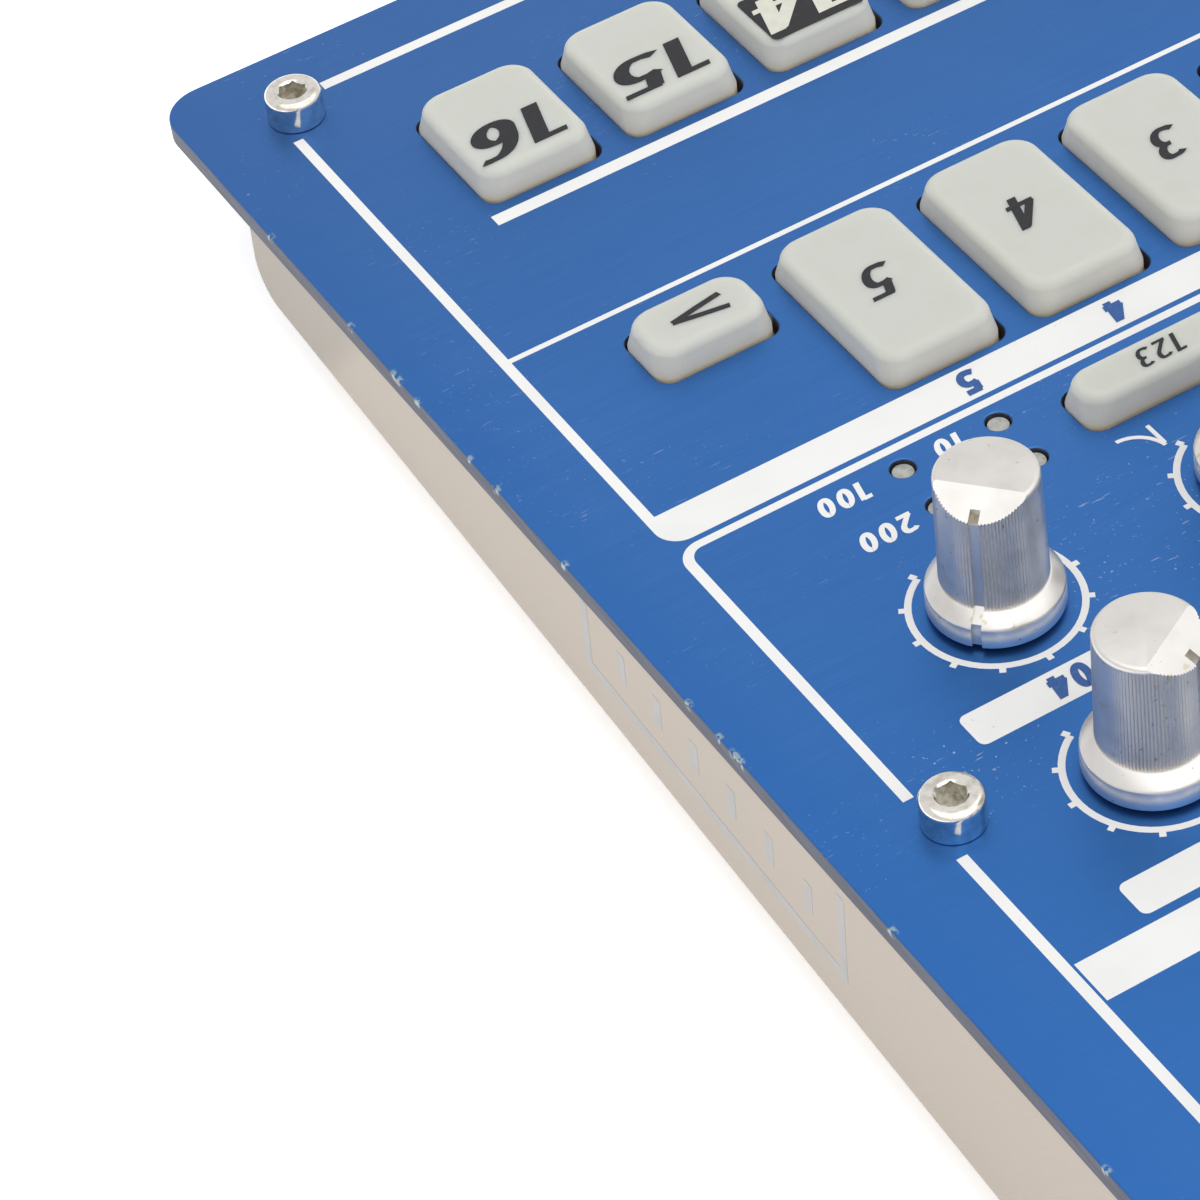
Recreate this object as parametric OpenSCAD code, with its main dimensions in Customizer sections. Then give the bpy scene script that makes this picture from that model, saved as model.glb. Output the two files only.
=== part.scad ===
// Step-sequencing drum machine: a sloped aluminium control plate on a wedge-shaped
// sheet steel case, with sprung silicone keys, rotary knobs, one fader, two valves
// behind a window, and sockets along the back.
// Plate coordinates: x across, v back along the slope from the plate's front edge,
// h up from the plate's top face. The case stands on z = 0, centred on the origin.

/* [Top plate] */
// Width of the plate
panel_w = 357; // [354:1:370]
// Depth of the plate along its slope
panel_d = 282; // [280:1:300]
// Thickness of the plate
panel_t = 2.5; // [2:0.1:3]
// Radius of the plate's corners in plan
panel_corner = 5.5; // [3:0.5:8]
// Slope of the plate against the table
panel_tilt = 4.8; // [4.2:0.1:6]

/* [Case] */
// Height of the plate's front edge above the underside of the case
front_h = 10.75; // [10.5:0.25:14]
// Thickness of the sheet steel
sheet_t = 1.2; // [0.8:0.1:1.5]
// Overhang of the plate in front of the side walls
overhang = 24.2; // [22:0.2:28]
// Radius where a side wall's front edge meets the floor
toe_r = 5; // [2:0.5:7]
// Inset of the shallow front tray from the sides
tray_inset = 6; // [4:0.5:8]
// Step up from the main floor to the floor of the front tray
tray_rise = 1; // [0.5:0.1:1.2]
// Distance from the rear panel back to the plate's rear edge
rear_inset = 3.5; // [3.4:0.1:6]

/* [Feet] */
// Height of a rubber foot
foot_h = 7; // [5:0.5:10]
// Radius of a rubber foot at the floor
foot_r = 8; // [7:0.5:10]
// Distance of a foot's centre from the plate's side
foot_side = 28; // [24:1:40]

/* [Keys] */
// Distance from the plate's side to the middle of the last column of keys
key_side = 31.35; // [31:0.05:34]
// Width of a key
key_w = 15.4; // [14.5:0.1:15.6]
// Depth of a step key
step_d = 19; // [16:0.5:21]
// Depth of a part key
part_d = 25.9; // [24.4:0.1:26.5]
// Depth of half a split part key
half_d = 11.6; // [10:0.2:11.8]
// Depth of an accent key
accent_d = 9.6; // [8.5:0.1:11]
// Width of a function key
pill_w = 22.5; // [20:0.5:24]
// Depth of a function key
pill_d = 7.1; // [6.8:0.1:8]
// Height of a key above the plate
key_lift = 3.5; // [2.5:0.1:4.5]
// Corner radius of a key in plan
key_r = 2.9; // [2:0.1:3.2]
// Radius of a key's upper edge
key_edge = 1.2; // [0.4:0.1:1.4]
// How much a key's side leans in over its height
key_taper = 0.35; // [0:0.05:0.6]
// Travel of a key
key_travel = 1.2; // [0.8:0.1:1.3]
// Gap between a key and its opening
key_gap = 0.3; // [0.2:0.05:0.4]
// Width of the lip that keeps a key in
key_lip = 0.8; // [0.6:0.1:0.9]
// Wall of a key's hollow underside
key_wall = 1.8; // [1.2:0.1:2]

/* [Rows of controls] */
// Centre line of the step keys
step_v = 32.5; // [31.5:0.5:36]
// Centre line of the part keys
part_v = 85.15; // [82:0.5:87]
// Centre line of the function keys
pill_v = 113.85; // [112:0.2:115]
// Centre line of the first row of knobs
knob_v = 132.98; // [132:0.2:136]
// Spacing of the knob rows
knob_row = 28.76; // [26:0.2:31]
// Spacing of the knob columns
knob_col = 34.4; // [32:0.2:35]
// Distance of the last knob column from the plate's side
knob_side = 33.94; // [32:0.2:36]
// Distance of the rear knobs' centre line in front of the valve window
back_gap = 22; // [20:1:26]

/* [Knobs] */
// Height of a knob
knob_h = 18.3; // [16:0.1:20]
// Radius of a knob's skirt
skirt_r = 7.5; // [7:0.1:8.5]
// Height of the skirt's upright rim
skirt_h = 2.8; // [2:0.1:3.4]
// Height of the sloped shoulder above the rim
shoulder_h = 1.3; // [1:0.1:2.4]
// Radius of the grip at its foot
grip_r = 5.95; // [5.4:0.05:6.4]
// How much the grip narrows to its top
grip_taper = 0.3; // [0:0.05:0.4]
// Distance from the knob's axis to the start of its pointer facet
facet_start = 2.2; // [1:0.1:3]
// Drop of the pointer facet at the grip's edge
facet_drop = 2.3; // [1:0.1:3]
// Width of the pointer groove
groove_w = 1.1; // [0.8:0.1:1.6]
// Depth of the pointer groove in the grip and in the skirt
groove_t = 0.7; // [0.4:0.1:1]
// Distance from the knob's axis to the pocket where the groove meets the facet
pocket_start = 4.3; // [4:0.1:5]
// Depth of that pocket
pocket_t = 1.1; // [0.6:0.1:1.4]
// Gap under the skirt
knob_gap = 0.6; // [0.4:0.1:1]
// Radius of a potentiometer shaft
shaft_r = 3; // [2.5:0.1:3.2]
// Radius of the threaded bush round the shaft
bush_r = 3.6; // [3.5:0.1:4]
// Width of a potentiometer body
pot_w = 10; // [9:0.5:12]
// Radius of the data dial
dial_r = 15; // [13:0.5:17]
// Height of the data dial
dial_h = 13; // [11:0.5:16]

/* [Fader] */
// Travel of the fader
fader_travel = 60; // [45:1:60]
// Width of the fader's slot
fader_slot = 2; // [1.8:0.1:3]
// Length of the fader's cap along its travel
fader_cap_l = 11; // [9:0.5:13]
// Width of the fader's cap
fader_cap_w = 12; // [10:0.5:14]
// Height of the fader's cap
fader_cap_h = 8; // [6:0.5:10]
// Width of the touch strip
strip_w = 8; // [6:0.5:10]
// Length of the touch strip
strip_l = 72; // [60:1:78]

/* [Plate screws] */
// Radius of a plate screw's thread
screw_r = 2; // [1.5:0.1:2.2]
// Radius of a plate screw's head
screw_head_r = 3.5; // [3.2:0.1:4]
// Height of a plate screw's head
screw_head_h = 4; // [3:0.1:4.5]
// Size across the flats of the hexagon socket
hex_af = 3; // [2.5:0.5:3]
// Length of the thread under the head
screw_l = 9; // [7:0.5:9]
// Distance of the screws from the plate's sides
screw_side = 13.2; // [11:0.1:13.6]

/* [Boards and windows] */
// Space between the plate and the control board
board_drop = 4.7; // [4.4:0.1:5]
// Thickness of a circuit board
board_t = 1.6; // [1:0.1:1.6]
// Thickness of the silicone key mat
mat_t = 0.8; // [0.5:0.1:0.9]
// Height of the posts under the main board
post_h = 5; // [4.5:0.1:5.4]
// Width of the display window
display_w = 64; // [50:1:68]
// Depth of the display window
display_d = 24; // [18:1:26]
// Gap between the data dial and the display window
display_gap = 10; // [8:0.5:14]
// Width of the valve window
valve_window_w = 122; // [118:1:130]
// Depth of the valve window
valve_window_d = 24; // [20:1:26]
// Radius of an indicator
led_r = 1.4; // [1:0.1:1.6]

/* [Valves] */
// Radius of a valve's glass
glass_r = 9.2; // [8:0.1:9.4]
// Length of a valve's glass without its tip
glass_l = 46; // [40:1:47]
// Thickness of the glass
glass_t = 0.9; // [0.6:0.1:1.2]
// Distance from the plate's top face to a valve's axis
valve_depth = 13.6; // [13.4:0.1:13.9]
// Distance of the valves' centre line from the plate's rear edge
valve_inset = 36; // [35:1:38]
// Clearance of a valve in its cut-out of the main board
valve_clear = 1.5; // [1:0.1:2]

/* [Rear sockets] */
// Spacing of the jack sockets
jack_pitch = 18; // [16:0.5:18]
// Radius of a jack socket's bore
jack_bore_r = 3.25; // [3.2:0.01:3.4]
// Radius of a jack socket's threaded nose
jack_nose_r = 4.75; // [4.5:0.05:5]
// Depth of a jack socket's bore
jack_bore_l = 24; // [20:1:25]
// Width of a jack socket's body
jack_w = 13; // [12:0.5:14]
// Spacing of the round five-pin sockets
din_pitch = 23; // [22:0.5:26]
// Width and height of a round socket's body
din_w = 19; // [18:0.5:20]
// Radius of the recess that takes the round plug
din_r = 6.8; // [6.5:0.1:7]

/* [Hidden] */
$fn = 64;
// Two faces that meet on a slope keep this much apart
seat_gap = 0.05;
// Radial clearance of a shaft in a bore and of a screw in its thread
run_gap = 0.05;
// Clearance of a piece in its cut-out
fit_gap = 0.2;
// Clearance of a moving piece below the plate
swing_gap = 0.3;
// Overshoot of a cutting tool
cut = 1;
small_screw_r = 1.5;
small_head_r = 2.8;
small_head_h = 2;
stud_r = 2.8;
pillar_r = 4;
panel_front_y = -(panel_d * cos(panel_tilt) + panel_t * sin(panel_tilt)) / 2;
floor_z = foot_h;
panel_front_z = floor_z + front_h;
board_h = -panel_t - board_drop;
lip_top = -panel_t - swing_gap;
lip_t = 1;
skirt_h0 = board_h + key_travel + swing_gap;
rear_y = panel_y(panel_d, 0) - rear_inset;
rear_t = 1.5;
side_y = panel_y(overhang, 0);
floor_top = floor_z + sheet_t;
main_z = floor_top + post_h;
main_top = main_z + board_t;
case_half = panel_w / 2 - 0.3;
tray_half = panel_w / 2 - tray_inset;
screw_front_v = 12.6;
screw_middle_v = 156.4;
screw_back_v = panel_d - 12.6;
function panel_y(v, h) = panel_front_y + v * cos(panel_tilt) - h * sin(panel_tilt);
function panel_z(v, h) = panel_front_z + v * sin(panel_tilt) + h * cos(panel_tilt);
// Height of the plate's underside over a place y in the case
function under_z(y) = panel_front_z + (y - panel_front_y) * tan(panel_tilt) - panel_t / cos(panel_tilt);
// Distance along the plate's normal from its top face to the height z, at v
function depth_to(v, z) = (panel_z(v, 0) - z) / cos(panel_tilt);
columns = 16;
key_pitch = (panel_w - 2 * key_side) / (columns - 1);
valve_v = panel_d - valve_inset;
back_v = valve_v - valve_window_d / 2 - back_gap;
function col_x(i) = (i - (columns + 1) / 2) * key_pitch;
function knob_x(column) = panel_w / 2 - knob_side - column * knob_col;
function row_key(i) = [col_x(i), part_v, key_w, part_d, key_r];
half_shift = (part_d - half_d) / 2;
accent_v = part_v - (part_d - accent_d) / 2;
// Every key: x, v, width, depth, corner radius
step_keys = [for (i = [1:columns]) [col_x(i), step_v, key_w, step_d, key_r]];
part_keys = [for (i = [11:15]) row_key(i)];
accent_keys = [[col_x(columns), accent_v, key_w, accent_d, key_r]];
type_keys = [[knob_x(1), pill_v, pill_w, pill_d, key_r]];
drum_keys = concat(
    [for (i = [3:7]) row_key(i)],
    [for (i = [8:9], s = [-1, 1]) [col_x(i), part_v + s * half_shift, key_w, half_d, key_r]],
    [[col_x(10), accent_v, key_w, accent_d, key_r]]);
pill_step = pill_w + 5;
function_keys = concat(
    [for (i = [1:2]) row_key(i)],
    [for (i = [0:5]) [col_x(2) + i * pill_step, pill_v, pill_w, pill_d, key_r]]);
all_keys = concat(step_keys, part_keys, accent_keys, type_keys, drum_keys, function_keys);
// Every knob: x, v, angle of its pointer from straight back, clockwise
knobs = [
    [knob_x(1), knob_v + knob_row, 20],
    [knob_x(0), knob_v + knob_row, -29],
    [knob_x(1), knob_v, -65],
    [knob_x(0), knob_v, 49],
    [knob_x(3), knob_v + knob_row, -90],
    [knob_x(2), knob_v + knob_row, 35],
    [knob_x(3), knob_v, 0],
    [knob_x(2), knob_v, 75],
    [knob_x(1), back_v, -40],
    [knob_x(0), back_v, 60],
    [-knob_x(1), back_v, 30],
    [-knob_x(2), back_v, -20]];
dial_x = -knob_x(1) + 6;
dial_back = 20;
dial_v = knob_v + dial_back;
fader_x = -knob_x(0);
fader_end = 9;
mat_v1 = pill_v + pill_d / 2 + 2.5;
fader_v = mat_v1 + fader_travel / 2 + fader_end + 0.5;
strip_x = fader_x - fader_cap_w / 2 - strip_w / 2 - 2;
display_x = dial_x + dial_r + display_gap + display_w / 2;
display_v = knob_v + knob_row - 4;
led_pitch_x = 12.4;
led_pitch_v = 7.2;
led_v = 109.4;
led_x = knob_x(0) - 15.86;
leds = concat(
    [for (i = [0:1], j = [0:1]) [led_x + i * led_pitch_x, led_v + j * led_pitch_v]],
    [for (i = [0:3]) [display_x + (i - 1.5) * 14, display_v - display_d / 2 - 7]],
    [for (i = [0:2]) [knob_x(2) + 6, back_v + (i - 1) * led_pitch_v]]);
stud_x = 24;
studs = [
    for (i = [2.5, 6.5, 10.5, 14.5]) [col_x(i), (step_v + step_d / 2 + part_v - part_d / 2) / 2],
    for (x = [-1, 1]) [x * (knob_x(0) + knob_x(1)) / 2, knob_v + 1.5 * knob_row],
    for (x = [-1, 1]) [x * stud_x, back_v],
    [(knob_x(1) + knob_x(2)) / 2, knob_v + knob_row / 2]];
board_half = col_x(columns) + key_w / 2 + 3;
board_v0 = step_v - step_d / 2 - 4;
board_v1 = back_v + 14;
plate_screws = [for (x = [-1, 1], v = [screw_front_v, screw_middle_v, screw_back_v])
    [x * (panel_w / 2 - screw_side), v]];
foot_x = panel_w / 2 - foot_side;
foot_front = 22;
foot_back = 18;
foot_ys = [side_y + foot_front, rear_y - foot_back];
flange_x = 60;
flange_xs = [-flange_x, flange_x];
flange_d = 12;
flange_w = 20;
main_side = 21;
main_half = panel_w / 2 - main_side;
main_y0 = panel_y(back_v - 6, 0);
main_y1 = rear_y - rear_t - 1;
post_inset = 8;
post_xs = [post_inset - main_half, stud_x, main_half - post_inset];
chip_w = 20;
chip_d = 14;
chip_t = 2;
chip_xs = [-5 * chip_w, -chip_w, 4.5 * chip_w];
jack_z = main_top + 6.5;
jack_x0 = 76;
jack_xs = concat([for (i = [0:4]) -jack_x0 - i * jack_pitch], [for (i = [0:1]) jack_x0 + i * jack_pitch]);
din_z = main_top + din_w / 2 + 0.5;
din_xs = [for (i = [-1:1]) i * din_pitch];
// Distance of the switch's centre from the end of the main board
switch_inset = 20.5;
switch_x = main_half - switch_inset;
inlet_x = switch_x - 25;
inlet_z = main_top + 5.5;
inlet_r = 4.2;
switch_w = 12.6;
switch_h = 18.6;
switch_z = main_top + switch_h / 2 + 1;
switch_y = rear_y - 1.2;
switch_pin_r = 1.2;
rocker_w = 9.4;
rocker_tilt = 9;
valve_y = panel_y(valve_v, -valve_depth);
valve_z = panel_z(valve_v, -valve_depth);
valve_x0 = 58;
glass_base = 2;
glass_tip = 3;
// Inner end of a valve's cut-out in the main board
valve_end = valve_x0 - glass_l - glass_tip - valve_clear;
cap_wall = 1.6;
pane_corner = 2;
pane_sink = 0.3;
pane_lip = 2;
pane_t = 0.8;
key_hole_r = 2;

module on_panel() {
    translate([0, panel_front_y, panel_front_z]) rotate([panel_tilt, 0, 0]) children();
}

// Extrudes a y-z outline along x, centred
module along_x(width) {
    translate([-width / 2, 0, 0]) rotate([90, 0, 90]) linear_extrude(width) children();
}

module rounded(w, d, r) {
    square([w - 2 * r, d], center = true);
    square([w, d - 2 * r], center = true);
    for (x = [-1, 1], y = [-1, 1]) translate([x * (w / 2 - r), y * (d / 2 - r)]) circle(r);
}

module slab(w, d, r, low, high) {
    translate([0, 0, low]) linear_extrude(high - low) rounded(w, d, r);
}

// ---- Keys ----

// Outline of a key seen from one side, with round upper corners
module key_outline(w) {
    top = w / 2 - key_taper;
    polygon([[-w / 2, 0], [w / 2, 0], [top, key_lift - key_edge], [top - key_edge, key_lift],
        [key_edge - top, key_lift], [-top, key_lift - key_edge]]);
    for (x = [-1, 1]) translate([x * (top - key_edge), key_lift - key_edge]) circle(key_edge);
}

module key_cap(w, d, r) {
    intersection() {
        slab(w, d, r, 0, key_lift);
        translate([0, d / 2, 0]) rotate([90, 0, 0]) linear_extrude(d) key_outline(w);
        along_x(w) key_outline(d);
    }
}

// A silicone key: cap, stem through the plate, lip, hollow skirt and contact post
module key(w, d, r) {
    roof = key_lift - key_wall;
    post_r = min(2, d / 2 - key_wall - 0.3);
    key_cap(w, d, r);
    difference() {
        union() {
            slab(w, d, r, skirt_h0, 0);
            slab(w + 2 * key_lip, d + 2 * key_lip, r + key_lip / 2, lip_top - lip_t, lip_top);
        }
        slab(w - 2 * key_wall, d - 2 * key_wall, r / 2, skirt_h0 - cut, -panel_t / 2);
    }
    translate([0, 0, skirt_h0]) cylinder(r = post_r, h = -panel_t / 2 - skirt_h0);
}

module keys(list) {
    color([0.80, 0.80, 0.75]) on_panel() {
        for (k = list) translate([k[0], k[1], 0]) key(k[2], k[3], k[4]);
    }
}

module key_holes(gap, r, low, high) {
    for (k = all_keys) translate([k[0], k[1], 0]) slab(k[2] + 2 * gap, k[3] + 2 * gap, r, low, high);
}

// ---- Knobs ----

// Knob with a bevelled skirt, a facet and groove as pointer, on its potentiometer shaft
module knob(list_index) {
    k = knobs[list_index];
    grip_top = grip_r - grip_taper;
    edge = 0.6;
    facet_angle = atan(facet_drop / (grip_top - facet_start));
    bore_top = knob_h - 4.5;
    foot = skirt_h + shoulder_h;
    color([0.83, 0.83, 0.82]) on_panel() translate([k[0], k[1], 0]) rotate([0, 0, -k[2]]) {
        translate([0, 0, knob_gap]) difference() {
            rotate_extrude() polygon([[0, 0], [skirt_r, 0], [skirt_r, skirt_h], [grip_r + 0.1, foot],
                [grip_r, foot], [grip_top, knob_h - edge], [grip_top - edge, knob_h], [0, knob_h]]);
            translate([0, facet_start, knob_h]) rotate([-facet_angle, 0, 0]) {
                translate([-skirt_r, 0, 0]) cube([2 * skirt_r, 2 * skirt_r, skirt_r]);
                translate([-groove_w / 2, pocket_start - facet_start, -pocket_t])
                    cube([groove_w, skirt_r, skirt_r]);
            }
            translate([-groove_w / 2, grip_top - groove_t, foot]) cube([groove_w, skirt_r, knob_h]);
            translate([-groove_w / 2, skirt_r - groove_t, -cut]) cube([groove_w, skirt_r, knob_h]);
            translate([0, 0, -cut]) cylinder(r = shaft_r + run_gap, h = bore_top + cut);
        }
        translate([0, 0, board_h + cut]) cylinder(r = shaft_r, h = knob_gap + bore_top - 0.5 - board_h - cut);
    }
}

// Large dial with a finger dimple, on its encoder shaft
module data_dial() {
    edge = 1.2;
    bore_top = dial_h - 4.5;
    dimple_r = dial_r / 4;
    color([0.83, 0.83, 0.82]) on_panel() translate([dial_x, dial_v, 0]) {
        translate([0, 0, knob_gap]) difference() {
            rotate_extrude() polygon([[0, 0], [dial_r, 0], [dial_r, skirt_h], [dial_r - edge, skirt_h + edge],
                [dial_r - edge, dial_h - edge], [dial_r - 2 * edge, dial_h], [0, dial_h]]);
            translate([0, dial_r * 0.55, dial_h + dimple_r / 2]) sphere(dimple_r);
            translate([0, 0, -cut]) cylinder(r = shaft_r + run_gap, h = bore_top + cut);
        }
        translate([0, 0, board_h + cut]) cylinder(r = shaft_r, h = knob_gap + bore_top - 0.5 - board_h - cut);
    }
}

// A potentiometer: square body on the board and threaded bush up into the plate
module pot() {
    difference() {
        union() {
            slab(pot_w, pot_w + 1, 0.5, board_h, -panel_t - swing_gap);
            translate([0, 0, -panel_t - cut]) cylinder(r = bush_r, h = panel_t + cut - swing_gap);
        }
        translate([0, 0, board_h + 0.8]) cylinder(r = shaft_r + run_gap, h = board_drop + panel_t + cut);
    }
}

module potentiometers() {
    color([0.35, 0.36, 0.38]) on_panel() {
        for (k = knobs) translate([k[0], k[1], 0]) pot();
        translate([dial_x, dial_v, 0]) pot();
        translate([fader_x, fader_v, 0]) difference() {
            slab(8, fader_travel + 2 * fader_end, 0.5, board_h, -panel_t - swing_gap);
            slab(fader_slot + 2 * swing_gap, fader_travel + 6, 0.5, board_h + 0.8, 0);
        }
    }
}

// Fader cap with a finger hollow, and the lever that carries it
module fader_cap() {
    lever_l = 4;
    hollow_r = 14;
    color([0.83, 0.83, 0.82]) on_panel() translate([fader_x, fader_v, 0]) {
        translate([0, 0, knob_gap]) difference() {
            slab(fader_cap_w, fader_cap_l, 1, 0, fader_cap_h);
            translate([-fader_cap_w, 0, fader_cap_h - 1.4 + hollow_r]) rotate([0, 90, 0])
                cylinder(r = hollow_r, h = 2 * fader_cap_w);
            translate([0, 0, -cut]) linear_extrude(cap_wall + cut) square([fader_cap_w - 2 * cap_wall,
                fader_cap_l - 2 * cap_wall], center = true);
        }
        translate([-fader_slot / 2 + swing_gap, -lever_l / 2, board_h + 1.2])
            cube([fader_slot - 2 * swing_gap, lever_l, knob_gap + cap_wall - board_h - 1.2]);
    }
}

// ---- Plate, mat, boards ----

module top_panel() {
    color([0.22, 0.42, 0.68]) on_panel() {
        difference() {
            translate([0, panel_d / 2, 0]) slab(panel_w, panel_d, panel_corner, -panel_t, 0);
            key_holes(key_gap, key_hole_r, -panel_t - cut, cut);
            for (k = concat(knobs, [[dial_x, dial_v]])) translate([k[0], k[1], -panel_t - cut])
                cylinder(r = bush_r + fit_gap, h = panel_t + 2 * cut);
            for (s = plate_screws) translate([s[0], s[1], -panel_t - cut])
                cylinder(r = screw_r + fit_gap, h = panel_t + 2 * cut);
            for (l = leds) translate([l[0], l[1], -panel_t - cut])
                cylinder(r = led_r + 0.1, h = panel_t + 2 * cut);
            translate([fader_x, fader_v, 0])
                slab(fader_slot, fader_travel + 5, fader_slot / 2 - 0.1, -panel_t - cut, cut);
            translate([display_x, display_v, 0]) slab(display_w, display_d, pane_corner, -panel_t - cut, cut);
            translate([0, valve_v, 0]) slab(valve_window_w, valve_window_d, pane_corner, -panel_t - cut, cut);
        }
        for (s = studs) translate([s[0], s[1], board_h]) difference() {
            cylinder(r = stud_r, h = board_drop);
            translate([0, 0, -cut]) cylinder(r = small_screw_r + run_gap, h = board_drop);
        }
    }
}

module key_mat() {
    color([0.62, 0.62, 0.58]) on_panel() difference() {
        translate([0, (board_v0 + mat_v1) / 2, 0])
            slab(2 * board_half, mat_v1 - board_v0, 1, board_h, board_h + mat_t);
        key_holes(key_gap, key_hole_r, board_h - cut, board_h + 2 * cut);
        for (l = leds) translate([l[0], l[1], board_h - cut]) cylinder(r = led_r + 0.9, h = 3 * cut);
        for (s = studs) translate([s[0], s[1], board_h - cut]) cylinder(r = stud_r + 0.4, h = 3 * cut);
    }
}

module panel_board() {
    color([0.10, 0.33, 0.20]) on_panel() difference() {
        translate([0, (board_v0 + board_v1) / 2, 0])
            slab(2 * board_half, board_v1 - board_v0, 2, board_h - board_t, board_h);
        for (s = studs) translate([s[0], s[1], board_h - board_t - cut])
            cylinder(r = small_screw_r + fit_gap, h = board_t + 2 * cut);
    }
}

module main_board() {
    color([0.10, 0.33, 0.20]) {
        difference() {
            translate([-main_half, main_y0, main_z]) cube([2 * main_half, main_y1 - main_y0, board_t]);
            for (x = post_xs) translate([x, main_y0 + 6, main_z - cut])
                cylinder(r = small_screw_r + fit_gap, h = board_t + 2 * cut);
            for (side = [-1, 1]) translate([side * (valve_x0 + valve_end) / 2, valve_y, main_z])
                cube([valve_x0 - valve_end, 2 * (glass_r + valve_clear), 4 * cut + board_t], center = true);
        }
        for (x = chip_xs) translate([x, main_y0 + 11, main_top]) cube([chip_w, chip_d, chip_t]);
    }
}

module led_lenses() {
    color([0.70, 0.70, 0.68, 0.8]) on_panel() for (l = leds) translate([l[0], l[1], 0]) {
        translate([0, 0, board_h]) cylinder(r = led_r + 0.4, h = 1);
        translate([0, 0, board_h]) cylinder(r = led_r, h = -board_h - 0.5 - led_r / 2);
        translate([0, 0, -0.5 - led_r / 2]) intersection() {
            sphere(led_r);
            cylinder(r = led_r, h = led_r / 2);
        }
    }
}

// Clear pane: sunk a little in its cut-out, with a flange glued under the plate
module pane(w, d) {
    slab(w - 2 * fit_gap, d - 2 * fit_gap, pane_corner - fit_gap, -panel_t, -pane_sink);
    slab(w + 2 * pane_lip, d + 2 * pane_lip, pane_corner, -panel_t - pane_t, -panel_t);
}

module clear_windows() {
    color([0.75, 0.82, 0.85, 0.4]) on_panel() {
        translate([display_x, display_v, 0]) pane(display_w, display_d);
        translate([0, valve_v, 0]) pane(valve_window_w, valve_window_d);
    }
}

module display_module() {
    frame_w = 3;
    color([0.15, 0.17, 0.15]) on_panel() translate([display_x, display_v, 0]) difference() {
        slab(display_w, display_d, 1, board_h, -panel_t - pane_t - swing_gap);
        slab(display_w - 2 * frame_w, display_d - 2 * frame_w, 0.5, -panel_t - 2 * pane_t - swing_gap, 0);
    }
}

module touch_strip() {
    strip_t = 0.8;
    color([0.12, 0.12, 0.13]) on_panel() translate([strip_x, fader_v, 0])
        slab(strip_w, strip_l, 1.5, 0, strip_t);
}

// ---- Case ----

// Outline of the main wedge in y and z, inset by one sheet or not
module wedge_outline(inset, top_gap) {
    y0 = side_y + inset;
    z0 = floor_z + inset;
    r = max(toe_r - inset, 0.5);
    y1 = rear_y;
    polygon([[y0, z0 + r], [y0 + r, z0], [y1, z0], [y1, under_z(y1) - top_gap],
        [y0, under_z(y0) - top_gap]]);
    translate([y0 + r, z0 + r]) circle(r);
}

// Outline of the shallow tray under the plate's front overhang
module tray_outline(inset, top_gap, back_y) {
    front = panel_y(6, 0) + inset;
    z0 = floor_z + tray_rise + inset;
    bend = panel_y(13, 0);
    polygon([[back_y, z0], [bend, z0], [front, z0 + 3], [front, under_z(front) - top_gap],
        [back_y, under_z(back_y) - top_gap]]);
}

module pillar(x, v) {
    foot = depth_to(v, floor_z + sheet_t / 2 + (v < overhang ? tray_rise : 0));
    on_panel() translate([x, v, -foot]) difference() {
        cylinder(r = pillar_r, h = foot - panel_t - seat_gap);
        translate([0, 0, foot - screw_l]) cylinder(r = screw_r + run_gap, h = screw_l);
    }
}

module chassis() {
    through = 20;
    boss_h = 4;
    color([0.78, 0.74, 0.68]) {
        difference() {
            union() {
                along_x(2 * case_half) wedge_outline(0, seat_gap);
                along_x(2 * tray_half) tray_outline(0, seat_gap, side_y + sheet_t);
            }
            along_x(2 * (case_half - sheet_t)) intersection() {
                wedge_outline(sheet_t, -through);
                translate([side_y, floor_z]) square([rear_y - side_y + cut, 3 * through]);
            }
            along_x(2 * (case_half - sheet_t)) translate([rear_y - cut, floor_top]) square(3 * through);
            along_x(2 * (tray_half - sheet_t)) tray_outline(sheet_t, -through, side_y + 2 * sheet_t);
            for (s = plate_screws) on_panel() translate([s[0], s[1], -screw_l])
                cylinder(r = screw_r + run_gap, h = screw_l);
            for (x = [-foot_x, foot_x], y = foot_ys) translate([x, y, floor_z - cut])
                cylinder(r = small_screw_r + run_gap, h = 3 * cut + sheet_t);
            for (x = flange_xs) translate([x, rear_y - rear_t - flange_d / 2, floor_z - cut])
                cylinder(r = small_screw_r + fit_gap, h = 2 * cut + sheet_t);
        }
        for (s = plate_screws) pillar(s[0], s[1]);
        for (x = [-foot_x, foot_x], y = foot_ys) translate([x, y, floor_top]) boss(boss_h);
        for (x = post_xs) translate([x, main_y0 + 6, floor_top]) boss(post_h);
    }
}

// Threaded boss for a small screw
module boss(height) {
    difference() {
        cylinder(r = stud_r, h = height);
        translate([0, 0, -cut]) cylinder(r = small_screw_r + run_gap, h = height + 2 * cut);
    }
}

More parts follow.
